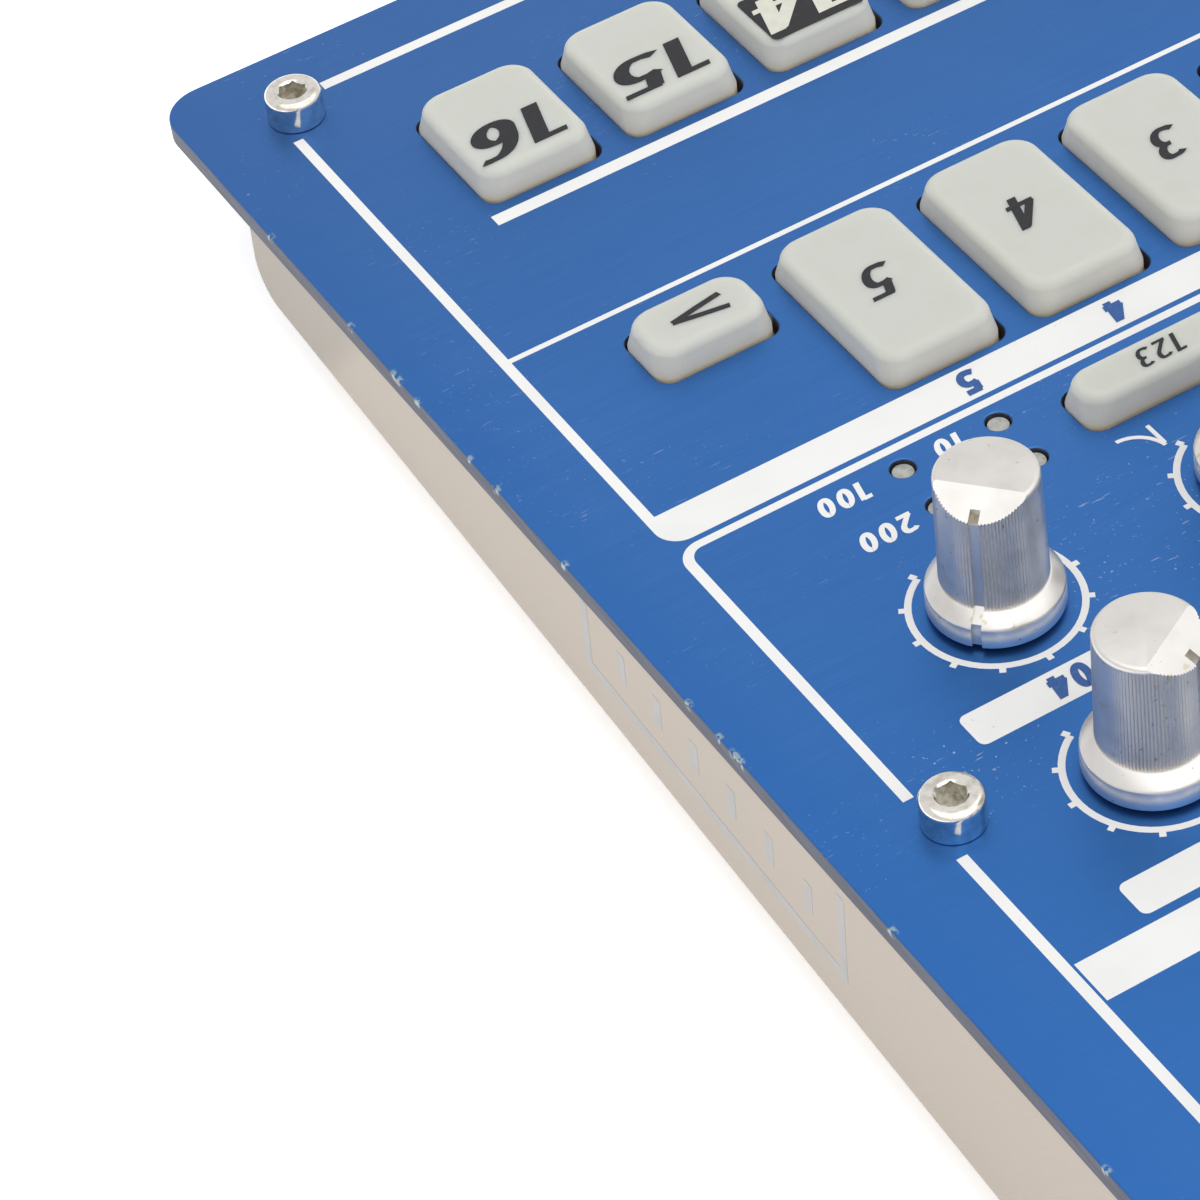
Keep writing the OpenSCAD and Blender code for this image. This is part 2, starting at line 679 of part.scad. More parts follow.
module rear_panel() {
    side_gap = 0.3;
    height = under_z(rear_y - rear_t) - 0.3 - floor_top;
    width = 2 * (case_half - sheet_t - side_gap);
    color([0.78, 0.74, 0.68]) {
        difference() {
            translate([-width / 2, rear_y - rear_t, floor_top]) cube([width, rear_t, height]);
            for (x = jack_xs) rear_hole(x, jack_z, jack_nose_r + fit_gap);
            for (x = din_xs) rear_hole(x, din_z, din_r + 0.9 + fit_gap);
            rear_hole(inlet_x, inlet_z, inlet_r + fit_gap);
            translate([switch_x, rear_y - rear_t / 2, switch_z])
                cube([switch_w + 2 * fit_gap, rear_t + 2 * cut, switch_h + 2 * fit_gap], center = true);
        }
        difference() {
            for (x = flange_xs) translate([x - flange_w / 2, rear_y - rear_t - flange_d, floor_top])
                cube([flange_w, flange_d, rear_t]);
            for (x = flange_xs) translate([x, rear_y - rear_t - flange_d / 2, floor_top - cut])
                cylinder(r = small_screw_r + run_gap, h = rear_t + 2 * cut);
        }
    }
}

module rear_hole(x, z, r) {
    translate([x, rear_y + cut, z]) rotate([90, 0, 0]) cylinder(r = r, h = rear_t + 2 * cut);
}

module rubber_feet() {
    web = 2.2;
    toe = foot_r - 1;
    recess_r = small_head_r + 1.2;
    hole_r = small_screw_r + fit_gap;
    color([0.10, 0.10, 0.10]) for (x = [-foot_x, foot_x], y = foot_ys) translate([x, y, 0])
        rotate_extrude() polygon([[recess_r, 0], [toe - 0.6, 0], [toe, 0.6], [foot_r, foot_h],
            [hole_r, foot_h], [hole_r, foot_h - web], [recess_r, foot_h - web]]);
}

// ---- Fasteners ----

module panel_screws() {
    hex_r = hex_af / 2 / cos(30);
    socket = 2;
    edge = 0.5;
    color([0.80, 0.80, 0.80]) on_panel() for (s = plate_screws) translate([s[0], s[1], 0]) {
        difference() {
            rotate_extrude() polygon([[0, 0], [screw_head_r, 0], [screw_head_r, screw_head_h - edge],
                [screw_head_r - edge, screw_head_h], [0, screw_head_h]]);
            translate([0, 0, screw_head_h - socket]) cylinder(r = hex_r, h = socket + cut, $fn = 6);
        }
        translate([0, 0, 0.5 - screw_l]) cylinder(r = screw_r, h = screw_l - 0.5);
    }
}

// Small pan-head screw, head down at z = 0, thread upwards
module small_screw(length) {
    difference() {
        translate([0, 0, -small_head_h]) cylinder(r = small_head_r, h = small_head_h);
        for (a = [0, 90]) rotate(a) translate([-1.6, -0.35, -small_head_h - cut]) cube([3.2, 0.7, cut + 1]);
    }
    cylinder(r = small_screw_r, h = length);
}

module case_screws() {
    foot_web = 2.2;
    color([0.25, 0.25, 0.26]) {
        for (x = [-foot_x, foot_x], y = foot_ys) translate([x, y, floor_z - foot_web])
            small_screw(foot_web + sheet_t + 3);
        for (x = flange_xs) translate([x, rear_y - rear_t - flange_d / 2, floor_z])
            small_screw(sheet_t + rear_t);
        for (x = post_xs) translate([x, main_y0 + 6, main_top]) rotate([180, 0, 0])
            small_screw(board_t + 3);
        on_panel() for (s = studs) translate([s[0], s[1], board_h - board_t]) small_screw(board_t + 3);
    }
}

// ---- Valves ----

// Places a shape drawn up from a valve's base, lying along x towards the middle
module valves() {
    for (side = [-1, 1]) translate([side * valve_x0, valve_y, valve_z]) rotate([0, -90 * side, 0]) children();
}

// Outline of a glass envelope: straight wall, dome and tip
module glass_outline(r, base, length, tip) {
    dome = 0.55 * r;
    polygon(concat([[0, base], [r, base]],
        [for (a = [0:15:75]) [r * cos(a), length - dome + dome * sin(a)]],
        [[0, length + tip]]));
}

module valve_glass() {
    color([0.80, 0.86, 0.88, 0.35]) valves() difference() {
        rotate_extrude() glass_outline(glass_r, 0, glass_l, glass_tip);
        rotate_extrude() glass_outline(glass_r - glass_t, glass_base, glass_l - glass_t, 0);
    }
}

// Electrodes: support rods, mica discs, two anodes and the getter ring
module valve_cores() {
    mica_r = glass_r - glass_t - 0.8;
    anode_l = glass_l * 0.5;
    anode_z = 8;
    color([0.42, 0.42, 0.44]) valves() {
        for (z = [anode_z - 1, anode_z + anode_l]) translate([0, 0, z]) cylinder(r = mica_r, h = 1);
        for (y = [-3.2, 3.2]) translate([0, y, anode_z]) {
            translate([-4, -2, 0]) cube([8, 4, anode_l]);
            translate([0, 0, glass_base - anode_z]) cylinder(r = 0.8, h = anode_z);
        }
        translate([0, 0, anode_z + anode_l + 1]) cylinder(r = 0.5, h = 3);
        translate([0, 0, anode_z + anode_l + 3]) difference() {
            cylinder(r = 3.6, h = 0.8);
            translate([0, 0, -cut]) cylinder(r = 2.8, h = 3 * cut);
            translate([-5, -0.6, -cut]) cube([2, 1.2, 3]);
        }
        translate([-3.2, -0.4, anode_z + anode_l + 3]) cube([6.4, 0.8, 0.8]);
    }
}

// Sockets that hold the valves upright on the main board
module valve_sockets() {
    socket_t = 7;
    height = valve_z + glass_r - 1 - main_top;
    color([0.88, 0.87, 0.83]) for (side = [-1, 1])
        translate([side * (valve_x0 + socket_t / 2), valve_y, main_top + height / 2])
            cube([socket_t, 2 * glass_r - 2, height], center = true);
}

// ---- Rear sockets ----

module phone_jacks() {
    body_l = 26;
    nose_l = 2.6;
    nut_l = 1.8;
    color([0.13, 0.13, 0.14]) for (x = jack_xs) translate([x, rear_y, jack_z]) rotate([90, 0, 0]) difference() {
        union() {
            translate([0, 0, -nose_l]) cylinder(r = jack_nose_r, h = nose_l + rear_t + cut);
            translate([0, 0, -nut_l]) cylinder(r = jack_nose_r + 1.6, h = nut_l, $fn = 6);
            translate([-jack_w / 2, main_top - jack_z, rear_t]) cube([jack_w, 2 * (jack_z - main_top), body_l]);
        }
        translate([0, 0, -nose_l - cut]) cylinder(r = jack_bore_r, h = jack_bore_l + cut);
    }
}

module midi_sockets() {
    body_l = 12;
    groove = 9;
    pin_ring = 3.9;
    color([0.13, 0.13, 0.14]) for (x = din_xs) translate([x, rear_y, din_z]) rotate([90, 0, 0]) difference() {
        union() {
            cylinder(r = din_r + 0.9, h = rear_t + cut);
            translate([-din_w / 2, main_top - din_z, rear_t]) cube([din_w, din_w, body_l]);
        }
        difference() {
            translate([0, 0, -cut]) cylinder(r = din_r, h = groove + cut);
            cylinder(r = din_r - 1.3, h = groove);
        }
        for (i = [0:4]) rotate(i * 45) translate([pin_ring, 0, -cut]) cylinder(r = 0.8, h = groove);
    }
}

// Round low-voltage inlet, and the housing of the rocker switch
module power_fittings() {
    body_l = 13;
    inlet_w = 9;
    bezel = 1.4;
    housing_l = 11;
    color([0.13, 0.13, 0.14]) {
        translate([inlet_x, rear_y, inlet_z]) rotate([90, 0, 0]) {
            difference() {
                union() {
                    cylinder(r = inlet_r, h = rear_t + cut);
                    translate([-inlet_w / 2, main_top - inlet_z, rear_t]) cube([inlet_w, 11, body_l]);
                }
                translate([0, 0, -cut]) cylinder(r = inlet_r - 1, h = 10);
            }
            cylinder(r = 1, h = 10);
        }
        translate([switch_x, rear_y, switch_z]) difference() {
            union() {
                translate([-switch_w / 2, -housing_l, -switch_h / 2]) cube([switch_w, housing_l + bezel, switch_h]);
                translate([-switch_w / 2 - bezel, 0, -switch_h / 2 - bezel])
                    cube([switch_w + 2 * bezel, bezel, switch_h + 2 * bezel]);
            }
            translate([-rocker_w / 2 - fit_gap, -6, -switch_h / 2 + 0.8])
                cube([rocker_w + 2 * fit_gap, 6 + bezel + cut, switch_h - 1.6]);
            translate([-switch_w / 2 + 0.3, switch_y - rear_y, 0]) rotate([0, 90, 0])
                cylinder(r = switch_pin_r + run_gap, h = switch_w - 0.6);
        }
    }
}

// Rocker on its pivot pins, resting in its off position
module power_switch() {
    reach = switch_h / 2 - 1.5;
    color([0.10, 0.10, 0.11]) translate([switch_x, switch_y, switch_z]) {
        rotate([rocker_tilt, 0, 0]) along_x(rocker_w) polygon([[-3.5, -3], [0, -reach], [2.6, -reach],
            [1.8, 0], [2.6, reach], [0, reach], [-3.5, 3]]);
        translate([-switch_w / 2 + 0.5, 0, 0]) rotate([0, 90, 0]) cylinder(r = switch_pin_r, h = switch_w - 1);
    }
}

top_panel();
chassis();
rear_panel();
panel_screws();
case_screws();
rubber_feet();
key_mat();
panel_board();
main_board();
potentiometers();
led_lenses();
clear_windows();
display_module();
valve_glass();
valve_cores();
valve_sockets();
touch_strip();
phone_jacks();
midi_sockets();
power_fittings();
keys([step_keys[0]]);  // step_key_1
keys([step_keys[1]]);  // step_key_2
keys([step_keys[2]]);  // step_key_3
keys([step_keys[3]]);  // step_key_4
keys([step_keys[4]]);  // step_key_5
keys([step_keys[5]]);  // step_key_6
keys([step_keys[6]]);  // step_key_7
keys([step_keys[7]]);  // step_key_8
keys([step_keys[8]]);  // step_key_9
keys([step_keys[9]]);  // step_key_10
keys([step_keys[10]]);  // step_key_11
keys([step_keys[11]]);  // step_key_12
keys([step_keys[12]]);  // step_key_13
keys([step_keys[13]]);  // step_key_14
keys([step_keys[14]]);  // step_key_15
keys([step_keys[15]]);  // step_key_16
keys([part_keys[0]]);  // part_key_1
keys([part_keys[1]]);  // part_key_2
keys([part_keys[2]]);  // part_key_3
keys([part_keys[3]]);  // part_key_4
keys([part_keys[4]]);  // part_key_5
keys(accent_keys);  // accent_key
keys(type_keys);  // type_key
keys(drum_keys);
keys(function_keys);
knob(0);  // knob_cutoff
knob(1);  // knob_resonance
knob(2);  // knob_envelope
knob(3);  // knob_drive
knob(4);  // knob_speed
knob(5);  // knob_depth
knob(6);  // knob_pitch
knob(7);  // knob_level
knob(8);  // knob_effect_1
knob(9);  // knob_effect_2
knob(10);  // knob_volume
knob(11);  // knob_valve_gain
data_dial();
fader_cap();
power_switch();
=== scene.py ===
"""Looks of a step-sequencing drum machine: brushed blue plate with white print, moulded
silicone keys, knurled knobs, socket-head screws, painted wedge case and the fittings
along its back.

Pieces are made in millimetres and placed in metres. Those on the plate are made in the
plate's own axes: x across it, v back along its slope from its front edge, and height over it."""

import math

import bmesh
import bpy
from mathutils import Matrix, Vector


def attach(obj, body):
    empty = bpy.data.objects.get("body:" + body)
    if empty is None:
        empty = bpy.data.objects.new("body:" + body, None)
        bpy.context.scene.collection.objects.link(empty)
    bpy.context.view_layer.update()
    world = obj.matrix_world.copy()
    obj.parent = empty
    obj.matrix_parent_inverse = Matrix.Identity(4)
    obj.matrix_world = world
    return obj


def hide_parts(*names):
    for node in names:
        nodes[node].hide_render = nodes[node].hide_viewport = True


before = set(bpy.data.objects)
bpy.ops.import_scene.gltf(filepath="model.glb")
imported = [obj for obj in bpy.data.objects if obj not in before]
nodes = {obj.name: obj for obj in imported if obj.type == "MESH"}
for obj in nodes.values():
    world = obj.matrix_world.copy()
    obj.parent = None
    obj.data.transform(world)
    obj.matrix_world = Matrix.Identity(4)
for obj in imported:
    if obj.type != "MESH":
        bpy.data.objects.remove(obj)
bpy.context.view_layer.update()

# ---- The machine's own measures, in millimetres ----

MM = 0.001
PANEL_W, PANEL_D, PANEL_T = 357.0, 282.0, 2.5
TILT = math.radians(4.8)
FRONT_Y = -(PANEL_D * math.cos(TILT) + PANEL_T * math.sin(TILT)) / 2
FOOT_H, TRAY_H, REAR_INSET, SIDE_INSET = 7, 10.75, 3.5, 0.3
FRONT_Z = FOOT_H + TRAY_H
REAR_Y = FRONT_Y + PANEL_D * math.cos(TILT) - REAR_INSET
CASE_HALF = PANEL_W / 2 - SIDE_INSET
KEY_PITCH, KEY_W, STEP_D, PART_D = 19.62, 15.4, 19.0, 25.9
STEP_V, PART_V, PILL_V = 32.5, 85.15, 113.85
PILL_W, PILL_D = 22.5, 7.1
PILL_PITCH = PILL_W + 5
KEY_TOP = 3.5
KNOB_V, KNOB_ROW, KNOB_COL, KNOB_X0 = 132.98, 28.76, 34.4, 144.56
BACK_V = 212.0
KNOB_GAP, KNOB_H = 0.6, 18.3
DIAL, DIAL_R, DIAL_H = (-104.16, 152.98), 15.0, 13.0
FADER = (-144.56, 159.4)
STRIP = (-156.56, 159.4, 8.0, 72.0)
DISPLAY = (-47.16, 157.74, 64.0, 24.0)
VALVE_WINDOW = (0.0, 246.0, 122.0, 24.0)
SCREW_X, SCREW_V = 165.3, (12.6, 156.4, 269.4)
LEDS_DISPLAY = [(DISPLAY[0] + (i - 1.5) * 14, 138.74) for i in range(4)]
LEDS_BACK = [(81.76, BACK_V + (i - 1) * 7.2) for i in range(3)]
BOARD_H = -7.2
PILLS = [(-127.53 + i * PILL_PITCH, PILL_V) for i in range(6)]
JACKS = [-76 - 18 * i for i in range(5)] + [76, 94]
DINS = [-23, 0, 23]
INLET_X, SWITCH_X = 112, 137
SOCKETS = sorted(JACKS + DINS + [INLET_X], reverse=True)
JACK_Z, DIN_Z, INLET_Z, SWITCH_Z = 21.3, 24.8, 20.3, 25.1
ROCKER_TILT = math.radians(9)
# Where hands have worn the plate beside the knobs: x, v and reach
HANDLED = [(128, 137, 19), (159, 152, 9)]
# Where the plate's sides are chipped: y along the side and half the chip's length
CHIPS = [
    (-110, 0.8), (-90, 0.7), (-79, 1.7), (-74, 0.8), (-62, 0.6), (-56, 0.9), (-41, 0.7), (-15, 0.8),
    (-9, 0.6), (-5, 2.1), (24, 0.9), (61, 0.7), (93, 1.2),
]


def column(i):
    return (i - 8.5) * KEY_PITCH


def knob_x(i):
    return KNOB_X0 - i * KNOB_COL


# Every knob: body, x, v, angle of its pointer clockwise from straight back
KNOBS = [
    ("knob_cutoff", knob_x(1), KNOB_V + KNOB_ROW, 20),
    ("knob_resonance", knob_x(0), KNOB_V + KNOB_ROW, -29),
    ("knob_envelope", knob_x(1), KNOB_V, -65),
    ("knob_drive", knob_x(0), KNOB_V, 49),
    ("knob_speed", knob_x(3), KNOB_V + KNOB_ROW, -90),
    ("knob_depth", knob_x(2), KNOB_V + KNOB_ROW, 35),
    ("knob_pitch", knob_x(3), KNOB_V, 0),
    ("knob_level", knob_x(2), KNOB_V, 75),
    ("knob_effect_1", knob_x(1), BACK_V, -40),
    ("knob_effect_2", knob_x(0), BACK_V, 60),
    ("knob_volume", -knob_x(1), BACK_V, 30),
    ("knob_valve_gain", -knob_x(2), BACK_V, -20),
]

METRES = Matrix.Scale(MM, 4)
ON_PANEL = METRES @ Matrix.Translation((0, FRONT_Y, FRONT_Z)) @ Matrix.Rotation(TILT, 4, "X")



def new_object(name, data):
    made = bpy.data.objects.new(name, data)
    bpy.context.scene.collection.objects.link(made)
    return made


# ---- Camera ----


def make_camera():
    """The lens looks down on the front right corner from behind the machine."""
    data = bpy.data.cameras.new("camera")
    data.lens, data.sensor_width = 146.95, 36
    data.clip_start, data.clip_end = 0.01, 20
    camera = new_object("camera", data)
    azimuth, elevation, roll = (math.radians(a) for a in (156.067, 43.688, -9.149))
    turn = (
        Matrix.Rotation(TILT, 4, "X")
        @ Matrix.Rotation(azimuth, 4, "Z")
        @ Matrix.Rotation(math.pi / 2 - elevation, 4, "X")
        @ Matrix.Rotation(roll, 4, "Z")
    )
    aim, distance = Vector((178.04, 107.09, 0)), 522.1
    back = Vector((
        math.sin(azimuth) * math.cos(elevation),
        -math.cos(azimuth) * math.cos(elevation),
        math.sin(elevation),
    ))
    camera.matrix_world = Matrix.Translation(ON_PANEL @ (aim + back * distance)) @ turn
    bpy.context.scene.camera = camera


# ---- Finishes ----


def tone(red, green, blue):
    """A colour given as it is seen, 0 to 255, as a shader's linear one."""
    linear = [c / 255 for c in (red, green, blue)]
    return tuple(c / 12.92 if c <= 0.04045 else ((c + 0.055) / 1.055) ** 2.4 for c in linear) + (1,)


def between(operation, swapped=False):
    """A method that puts an operation between a Wire and another value."""
    if swapped:
        return lambda self, other: self.sum(operation, other, self)
    return lambda self, other: self.sum(operation, self, other)


class Wire:
    """A node's output that takes part in sums."""

    def __init__(self, finish, socket):
        self.finish, self.socket = finish, socket

    def sum(self, operation, *values):
        return self.finish.node("Math", {"operation": operation}, dict(enumerate(values)))

    __add__ = __radd__ = between("ADD")
    __mul__ = __rmul__ = between("MULTIPLY")
    __sub__, __rsub__ = between("SUBTRACT"), between("SUBTRACT", swapped=True)
    __truediv__, __gt__ = between("DIVIDE"), between("GREATER_THAN")

    def __abs__(self):
        return self.sum("ABSOLUTE", self)

    def over(self, low, high):
        """0 below low, 1 above high, and smooth between them."""
        inputs = {"Value": self, "From Min": low, "From Max": high}
        return self.finish.node("MapRange", {"interpolation_type": "SMOOTHSTEP"}, inputs)

    def under(self, low, high):
        return 1 - self.over(low, high)


class Finish:
    """A material on one Principled shader, whose plain numbers are set on the shader."""

    def __init__(self, name, **numbers):
        self.material = bpy.data.materials.new(name)
        self.material.use_nodes = True
        self.tree = self.material.node_tree
        self.shader = self.tree.nodes["Principled BSDF"]
        for key, value in numbers.items():
            socket = key.replace("_", " ").title().replace("Ior", "IOR")
            self.shader.inputs[socket].default_value = value

    def node(self, kind, settings=None, inputs=None, output=0):
        made = self.tree.nodes.new("ShaderNode" + kind)
        for key, value in (settings or {}).items():
            setattr(made, key, value)
        for key, value in (inputs or {}).items():
            if isinstance(value, Wire):
                self.tree.links.new(value.socket, made.inputs[key])
            else:
                made.inputs[key].default_value = value
        return Wire(self, made.outputs[output])

    def feed(self, socket, wire):
        self.tree.links.new(wire.socket, self.shader.inputs[socket])

    def show(self, colour, roughness):
        self.feed("Base Color", colour)
        self.feed("Roughness", roughness)

    def place(self, scale=(1, 1, 1), turn=(0, 0, 0), shift=(0, 0, 0)):
        """Object coordinates in millimetres, stretched and turned."""
        here = self.node("TexCoord", output="Object")
        scale = [s / MM for s in scale]
        inputs = {"Vector": here, "Location": shift, "Rotation": turn, "Scale": scale}
        return self.node("Mapping", None, inputs)

    def noise(self, size, stretch=(1, 1, 1), turn=(0, 0, 0), shift=(0, 0, 0), detail=2.0, rough=0.5):
        """Noise whose blobs measure about size millimetres."""
        where = self.place([s / size for s in stretch], turn, shift)
        inputs = {"Vector": where, "Scale": 1.0, "Detail": detail, "Roughness": rough}
        return self.node("TexNoise", None, inputs)

    def blend(self, mask, low, high):
        """Colour low where the mask is 0 and high where it is 1."""
        inputs = {0: mask, 6: low, 7: high}
        return self.node("Mix", {"data_type": "RGBA"}, inputs, output=2)

    def axis(self, letter):
        """One object coordinate, in millimetres."""
        return self.node("SeparateXYZ", None, {"Vector": self.place()}, output=letter)

    def above_plate(self):
        """Height above the sloped plate, in millimetres."""
        y, z = self.axis("Y"), self.axis("Z")
        return (z - FRONT_Z) * math.cos(TILT) - (y - FRONT_Y) * math.sin(TILT)

    def bump(self, height, depth, strength):
        """Feeds the surface's relief, with its depth in millimetres."""
        inputs = {"Height": height, "Distance": depth * MM, "Strength": strength}
        self.feed("Normal", self.node("Bump", None, inputs))


def flecks(finish, size, shift, level, stretch=(1, 1, 1), turn=0.0):
    """1 on irregular flecks or, when stretched, on short scratches."""
    return finish.noise(size, stretch, (0, 0, turn), shift, detail=2).over(level, level + 0.05)


def near(finish, x, v, reach):
    """1 round a place of the plate, fading out over reach millimetres."""
    across = finish.axis("X") - x
    along = finish.axis("Y") - (FRONT_Y + v * math.cos(TILT))
    return ((across * across + along * along) / reach**2).under(0.15, 1.0)


def rim_chips(finish):
    """1 on the ragged chips along the plate's sides."""
    y = finish.axis("Y")
    places = sum(abs(y - place).under(0.4 * reach, reach) for place, reach in CHIPS)
    return places * finish.noise(0.8, shift=(4, 4, 4), detail=3).over(0.44, 0.54)


def brushed_blue():
    """Anodised aluminium brushed across, worn where hands rest and chipped along its sides."""
    f = Finish("brushed_blue", metallic=0.9)
    along = (-TILT, 0, 0)
    fine = f.noise(0.16, (0.02, 1, 1), along, detail=3, rough=0.6)
    bands = f.noise(1.6, (0.02, 1, 1), along, (3.1, 0.7, 0), detail=2)
    haze = f.noise(42, detail=3)
    grain = fine * 0.75 + bands * 0.25
    rim = PANEL_W / 2 - abs(f.axis("X"))
    colour = f.blend(grain.over(0.3, 0.7), tone(55, 109, 178), tone(62, 115, 185))
    colour = f.blend(haze.over(0.45, 0.75) * 0.12, colour, tone(90, 134, 192))
    colour = f.blend(rim.under(1.5, 8) * 0.4, colour, tone(46, 104, 178))
    # Painted reflection: greyer towards the front and a deeper blue towards the back, for how the
    # studio's light lies on the plate.
    y = f.axis("Y")
    colour = f.blend(y.under(-140, -40) * 0.45, colour, tone(66, 105, 164))
    colour = f.blend(y.over(-50, 40) * 0.5, colour, tone(47, 105, 177))
    handled = f.noise(26, shift=(9, 4, 2)).over(0.5, 0.62) * 0.55
    for x, v, reach in HANDLED:
        handled = handled + near(f, x, v, reach)
    dust = flecks(f, 0.48, (1, 1, 1), 0.69) + flecks(f, 0.9, (3, 8, 2), 0.75)
    drawn_out = (0.14, 1, 1)
    lines = flecks(f, 0.4, (5, 1, 0), 0.71, drawn_out, 0.9)
    lines = lines + flecks(f, 0.4, (1, 7, 0), 0.71, drawn_out, -0.5)
    marks = (dust * 0.55 + lines * 0.55) * handled
    colour = f.blend(marks, colour, tone(176, 190, 212))
    colour = f.blend(rim_chips(f) * rim.under(0.3, 0.75), colour, tone(150, 172, 180))
    f.show(colour, 0.3 + grain * 0.1 + haze.over(0.4, 0.7) * 0.05 + marks * 0.2)
    f.bump(fine, 0.003, 0.5)
    return f.material


def worn_edge():
    """The plate's cut side: dull grey, with bare chips along its upper rim."""
    f = Finish("worn_edge", metallic=0.7)
    streak = f.noise(0.5, (1, 0.04, 1), detail=3)
    chips = rim_chips(f) * f.above_plate().over(-1.1, -0.5)
    colour = f.blend(streak.over(0.35, 0.7), tone(74, 78, 92), tone(96, 100, 114))
    f.show(f.blend(chips, colour, tone(166, 178, 184)), 0.45 + streak * 0.15)
    f.bump(streak, 0.01, 0.5)
    return f.material


def white_print():
    """White screen print with specks of brown dirt."""
    f = Finish("white_print")
    dirt = flecks(f, 0.35, (2, 5, 1), 0.72) * f.noise(9, shift=(3, 3, 3)).over(0.5, 0.6)
    wear = f.noise(14, detail=4)
    colour = f.blend(wear.over(0.4, 0.75), tone(230, 230, 229), tone(224, 224, 223))
    f.show(f.blend(dirt * 0.7, colour, tone(128, 112, 100)), 0.5 + wear * 0.15)
    f.bump(f.noise(0.3, detail=2), 0.004, 0.5)
    return f.material


def key_silicone():
    """Milky silicone: its sides painted lighter than its top, and warm beige painted in its lowest
    millimetre, both for light that comes through the silicone.
    """
    f = Finish("key_silicone", subsurface_weight=0.9, subsurface_scale=0.0025)
    f.shader.inputs["Subsurface Radius"].default_value = (1.0, 0.95, 0.8)
    height = f.above_plate()
    mottle = f.noise(4.5, detail=4)
    # Painted light: the sides, below the top's rounded edge, lighter than the top.
    colour = f.blend(height.over(1.4, 3.3), tone(214, 211, 200), tone(196, 198, 191))
    # Painted light: warm beige in the lowest millimetre, the glow of light through the silicone near the
    # plate.
    colour = f.blend(height.under(-0.9, 0.9), colour, tone(217, 204, 178))
    colour = f.blend(mottle.over(0.45, 0.8) * 0.2, colour, tone(188, 187, 176))
    colour = f.blend(flecks(f, 0.3, (6, 1, 3), 0.75) * 0.4, colour, tone(130, 118, 100))
    f.show(colour, 0.42 + mottle * 0.18)
    f.bump(f.noise(0.16, detail=2), 0.006, 0.6)
    return f.material


def rubbed_print(name, size, low, high, roughness):
    """Print on keys and strips, rubbed paler in places."""
    f = Finish(name)
    worn = f.noise(size, detail=4)
    f.show(f.blend(worn.over(0.5, 0.85), tone(*low), tone(*high)), roughness + worn * 0.2)
    return f.material


def satin_silver(name, low, high, roughness, grime_level):
    """Satin silver coating with brown grime."""
    f = Finish(name, metallic=0.95)
    grain = f.noise(0.3, (1, 1, 0.2), detail=2)
    cloud = f.noise(5, detail=3)
    colour = f.blend(cloud.over(0.4, 0.75), tone(*low), tone(*high))
    colour = f.blend(flecks(f, 1.7, (5, 2, 3), 0.69) * 0.55, colour, tone(202, 188, 146))
    grime = flecks(f, 0.6, (1, 2, 8), grime_level) * f.noise(7, shift=(8, 1, 1)).over(0.42, 0.54)
    f.show(f.blend(grime * 0.7, colour, tone(150, 128, 96)), roughness + grain * 0.08 + cloud * 0.06)
    f.bump(grain, 0.003, 0.5)
    return f.material


def bright_nickel():
    """Bright plating with duller patches and specks of rust."""
    f = Finish("bright_nickel", metallic=1.0)
    wear = f.noise(1.2, detail=4)
    rust = flecks(f, 0.3, (3, 9, 1), 0.68) * f.noise(3, shift=(8, 2, 2)).over(0.5, 0.6)
    colour = f.blend(wear.over(0.4, 0.8), tone(238, 234, 227), tone(204, 197, 186))
    f.show(f.blend(rust, colour, tone(150, 112, 70)), 0.1 + wear * 0.1)
    f.bump(wear, 0.01, 0.3)
    return f.material


def case_coat():
    """Warm silver stoved paint with a fine orange-peel and flakes, and painted shade on the front of each
    side wall.
    """
    f = Finish("case_coat", metallic=0.35)
    flake = f.noise(0.12, detail=1)
    peel = f.noise(0.9, detail=2)
    cloud = f.noise(45, detail=3)
    colour = f.blend(flake.over(0.35, 0.7), tone(171, 160, 149), tone(187, 177, 165))
    colour = f.blend(cloud.over(0.4, 0.75) * 0.35, colour, tone(167, 160, 153))
    # Painted shade: the front end of each side wall darker, reaching further back higher up.
    shade = (f.axis("Y") - f.axis("Z") * 0.8).under(-108, -101)
    colour = f.blend(shade * 0.45, colour, tone(138, 133, 125))
    f.show(f.blend(flecks(f, 0.5, (4, 4, 9), 0.76) * 0.5, colour, tone(120, 106, 92)), 0.4 + flake * 0.12)
    f.bump(peel * 0.8 + flake * 0.2, 0.012, 0.5)
    return f.material


def plain(name, low, high, size, roughness, relief, **numbers):
    """A finish that drifts between two colours, with a fine relief."""
    f = Finish(name, **numbers)
    drift = f.noise(size, detail=4)
    f.show(f.blend(drift.over(0.3, 0.7), tone(*low), tone(*high)), roughness - 0.06 + drift * 0.12)
    f.bump(f.noise(size / 4, detail=2), relief, 0.6)
    return f.material


def clear_pane(name, roughness, tint):
    """Clear plastic or glass with faint dust."""
    f = Finish(name, transmission_weight=1.0, ior=1.46)
    dust = f.noise(3, detail=5)
    f.show(f.blend(dust.over(0.5, 0.8) * 0.1, tone(*tint), tone(200, 200, 198)), roughness + dust * 0.04)
    return f.material


def board_laminate():
    """Green solder mask with lighter copper tracks under it."""
    f = Finish("board_laminate")
    bands = {"Vector": f.place((0.3, 0.3, 0.3)), "Scale": 1.0}
    across = f.node("TexWave", {"bands_direction": "X"}, bands)
    along = f.node("TexWave", {"bands_direction": "Y"}, bands)
    zone = f.noise(22, detail=0) > 0.5
    tracks = across.over(0.55, 0.62) * zone + along.over(0.55, 0.62) * (1 - zone)
    f.show(f.blend(tracks, tone(24, 84, 52), tone(52, 120, 72)), 0.32 + tracks * 0.1)
    f.bump(tracks, 0.03, 0.5)
    return f.material


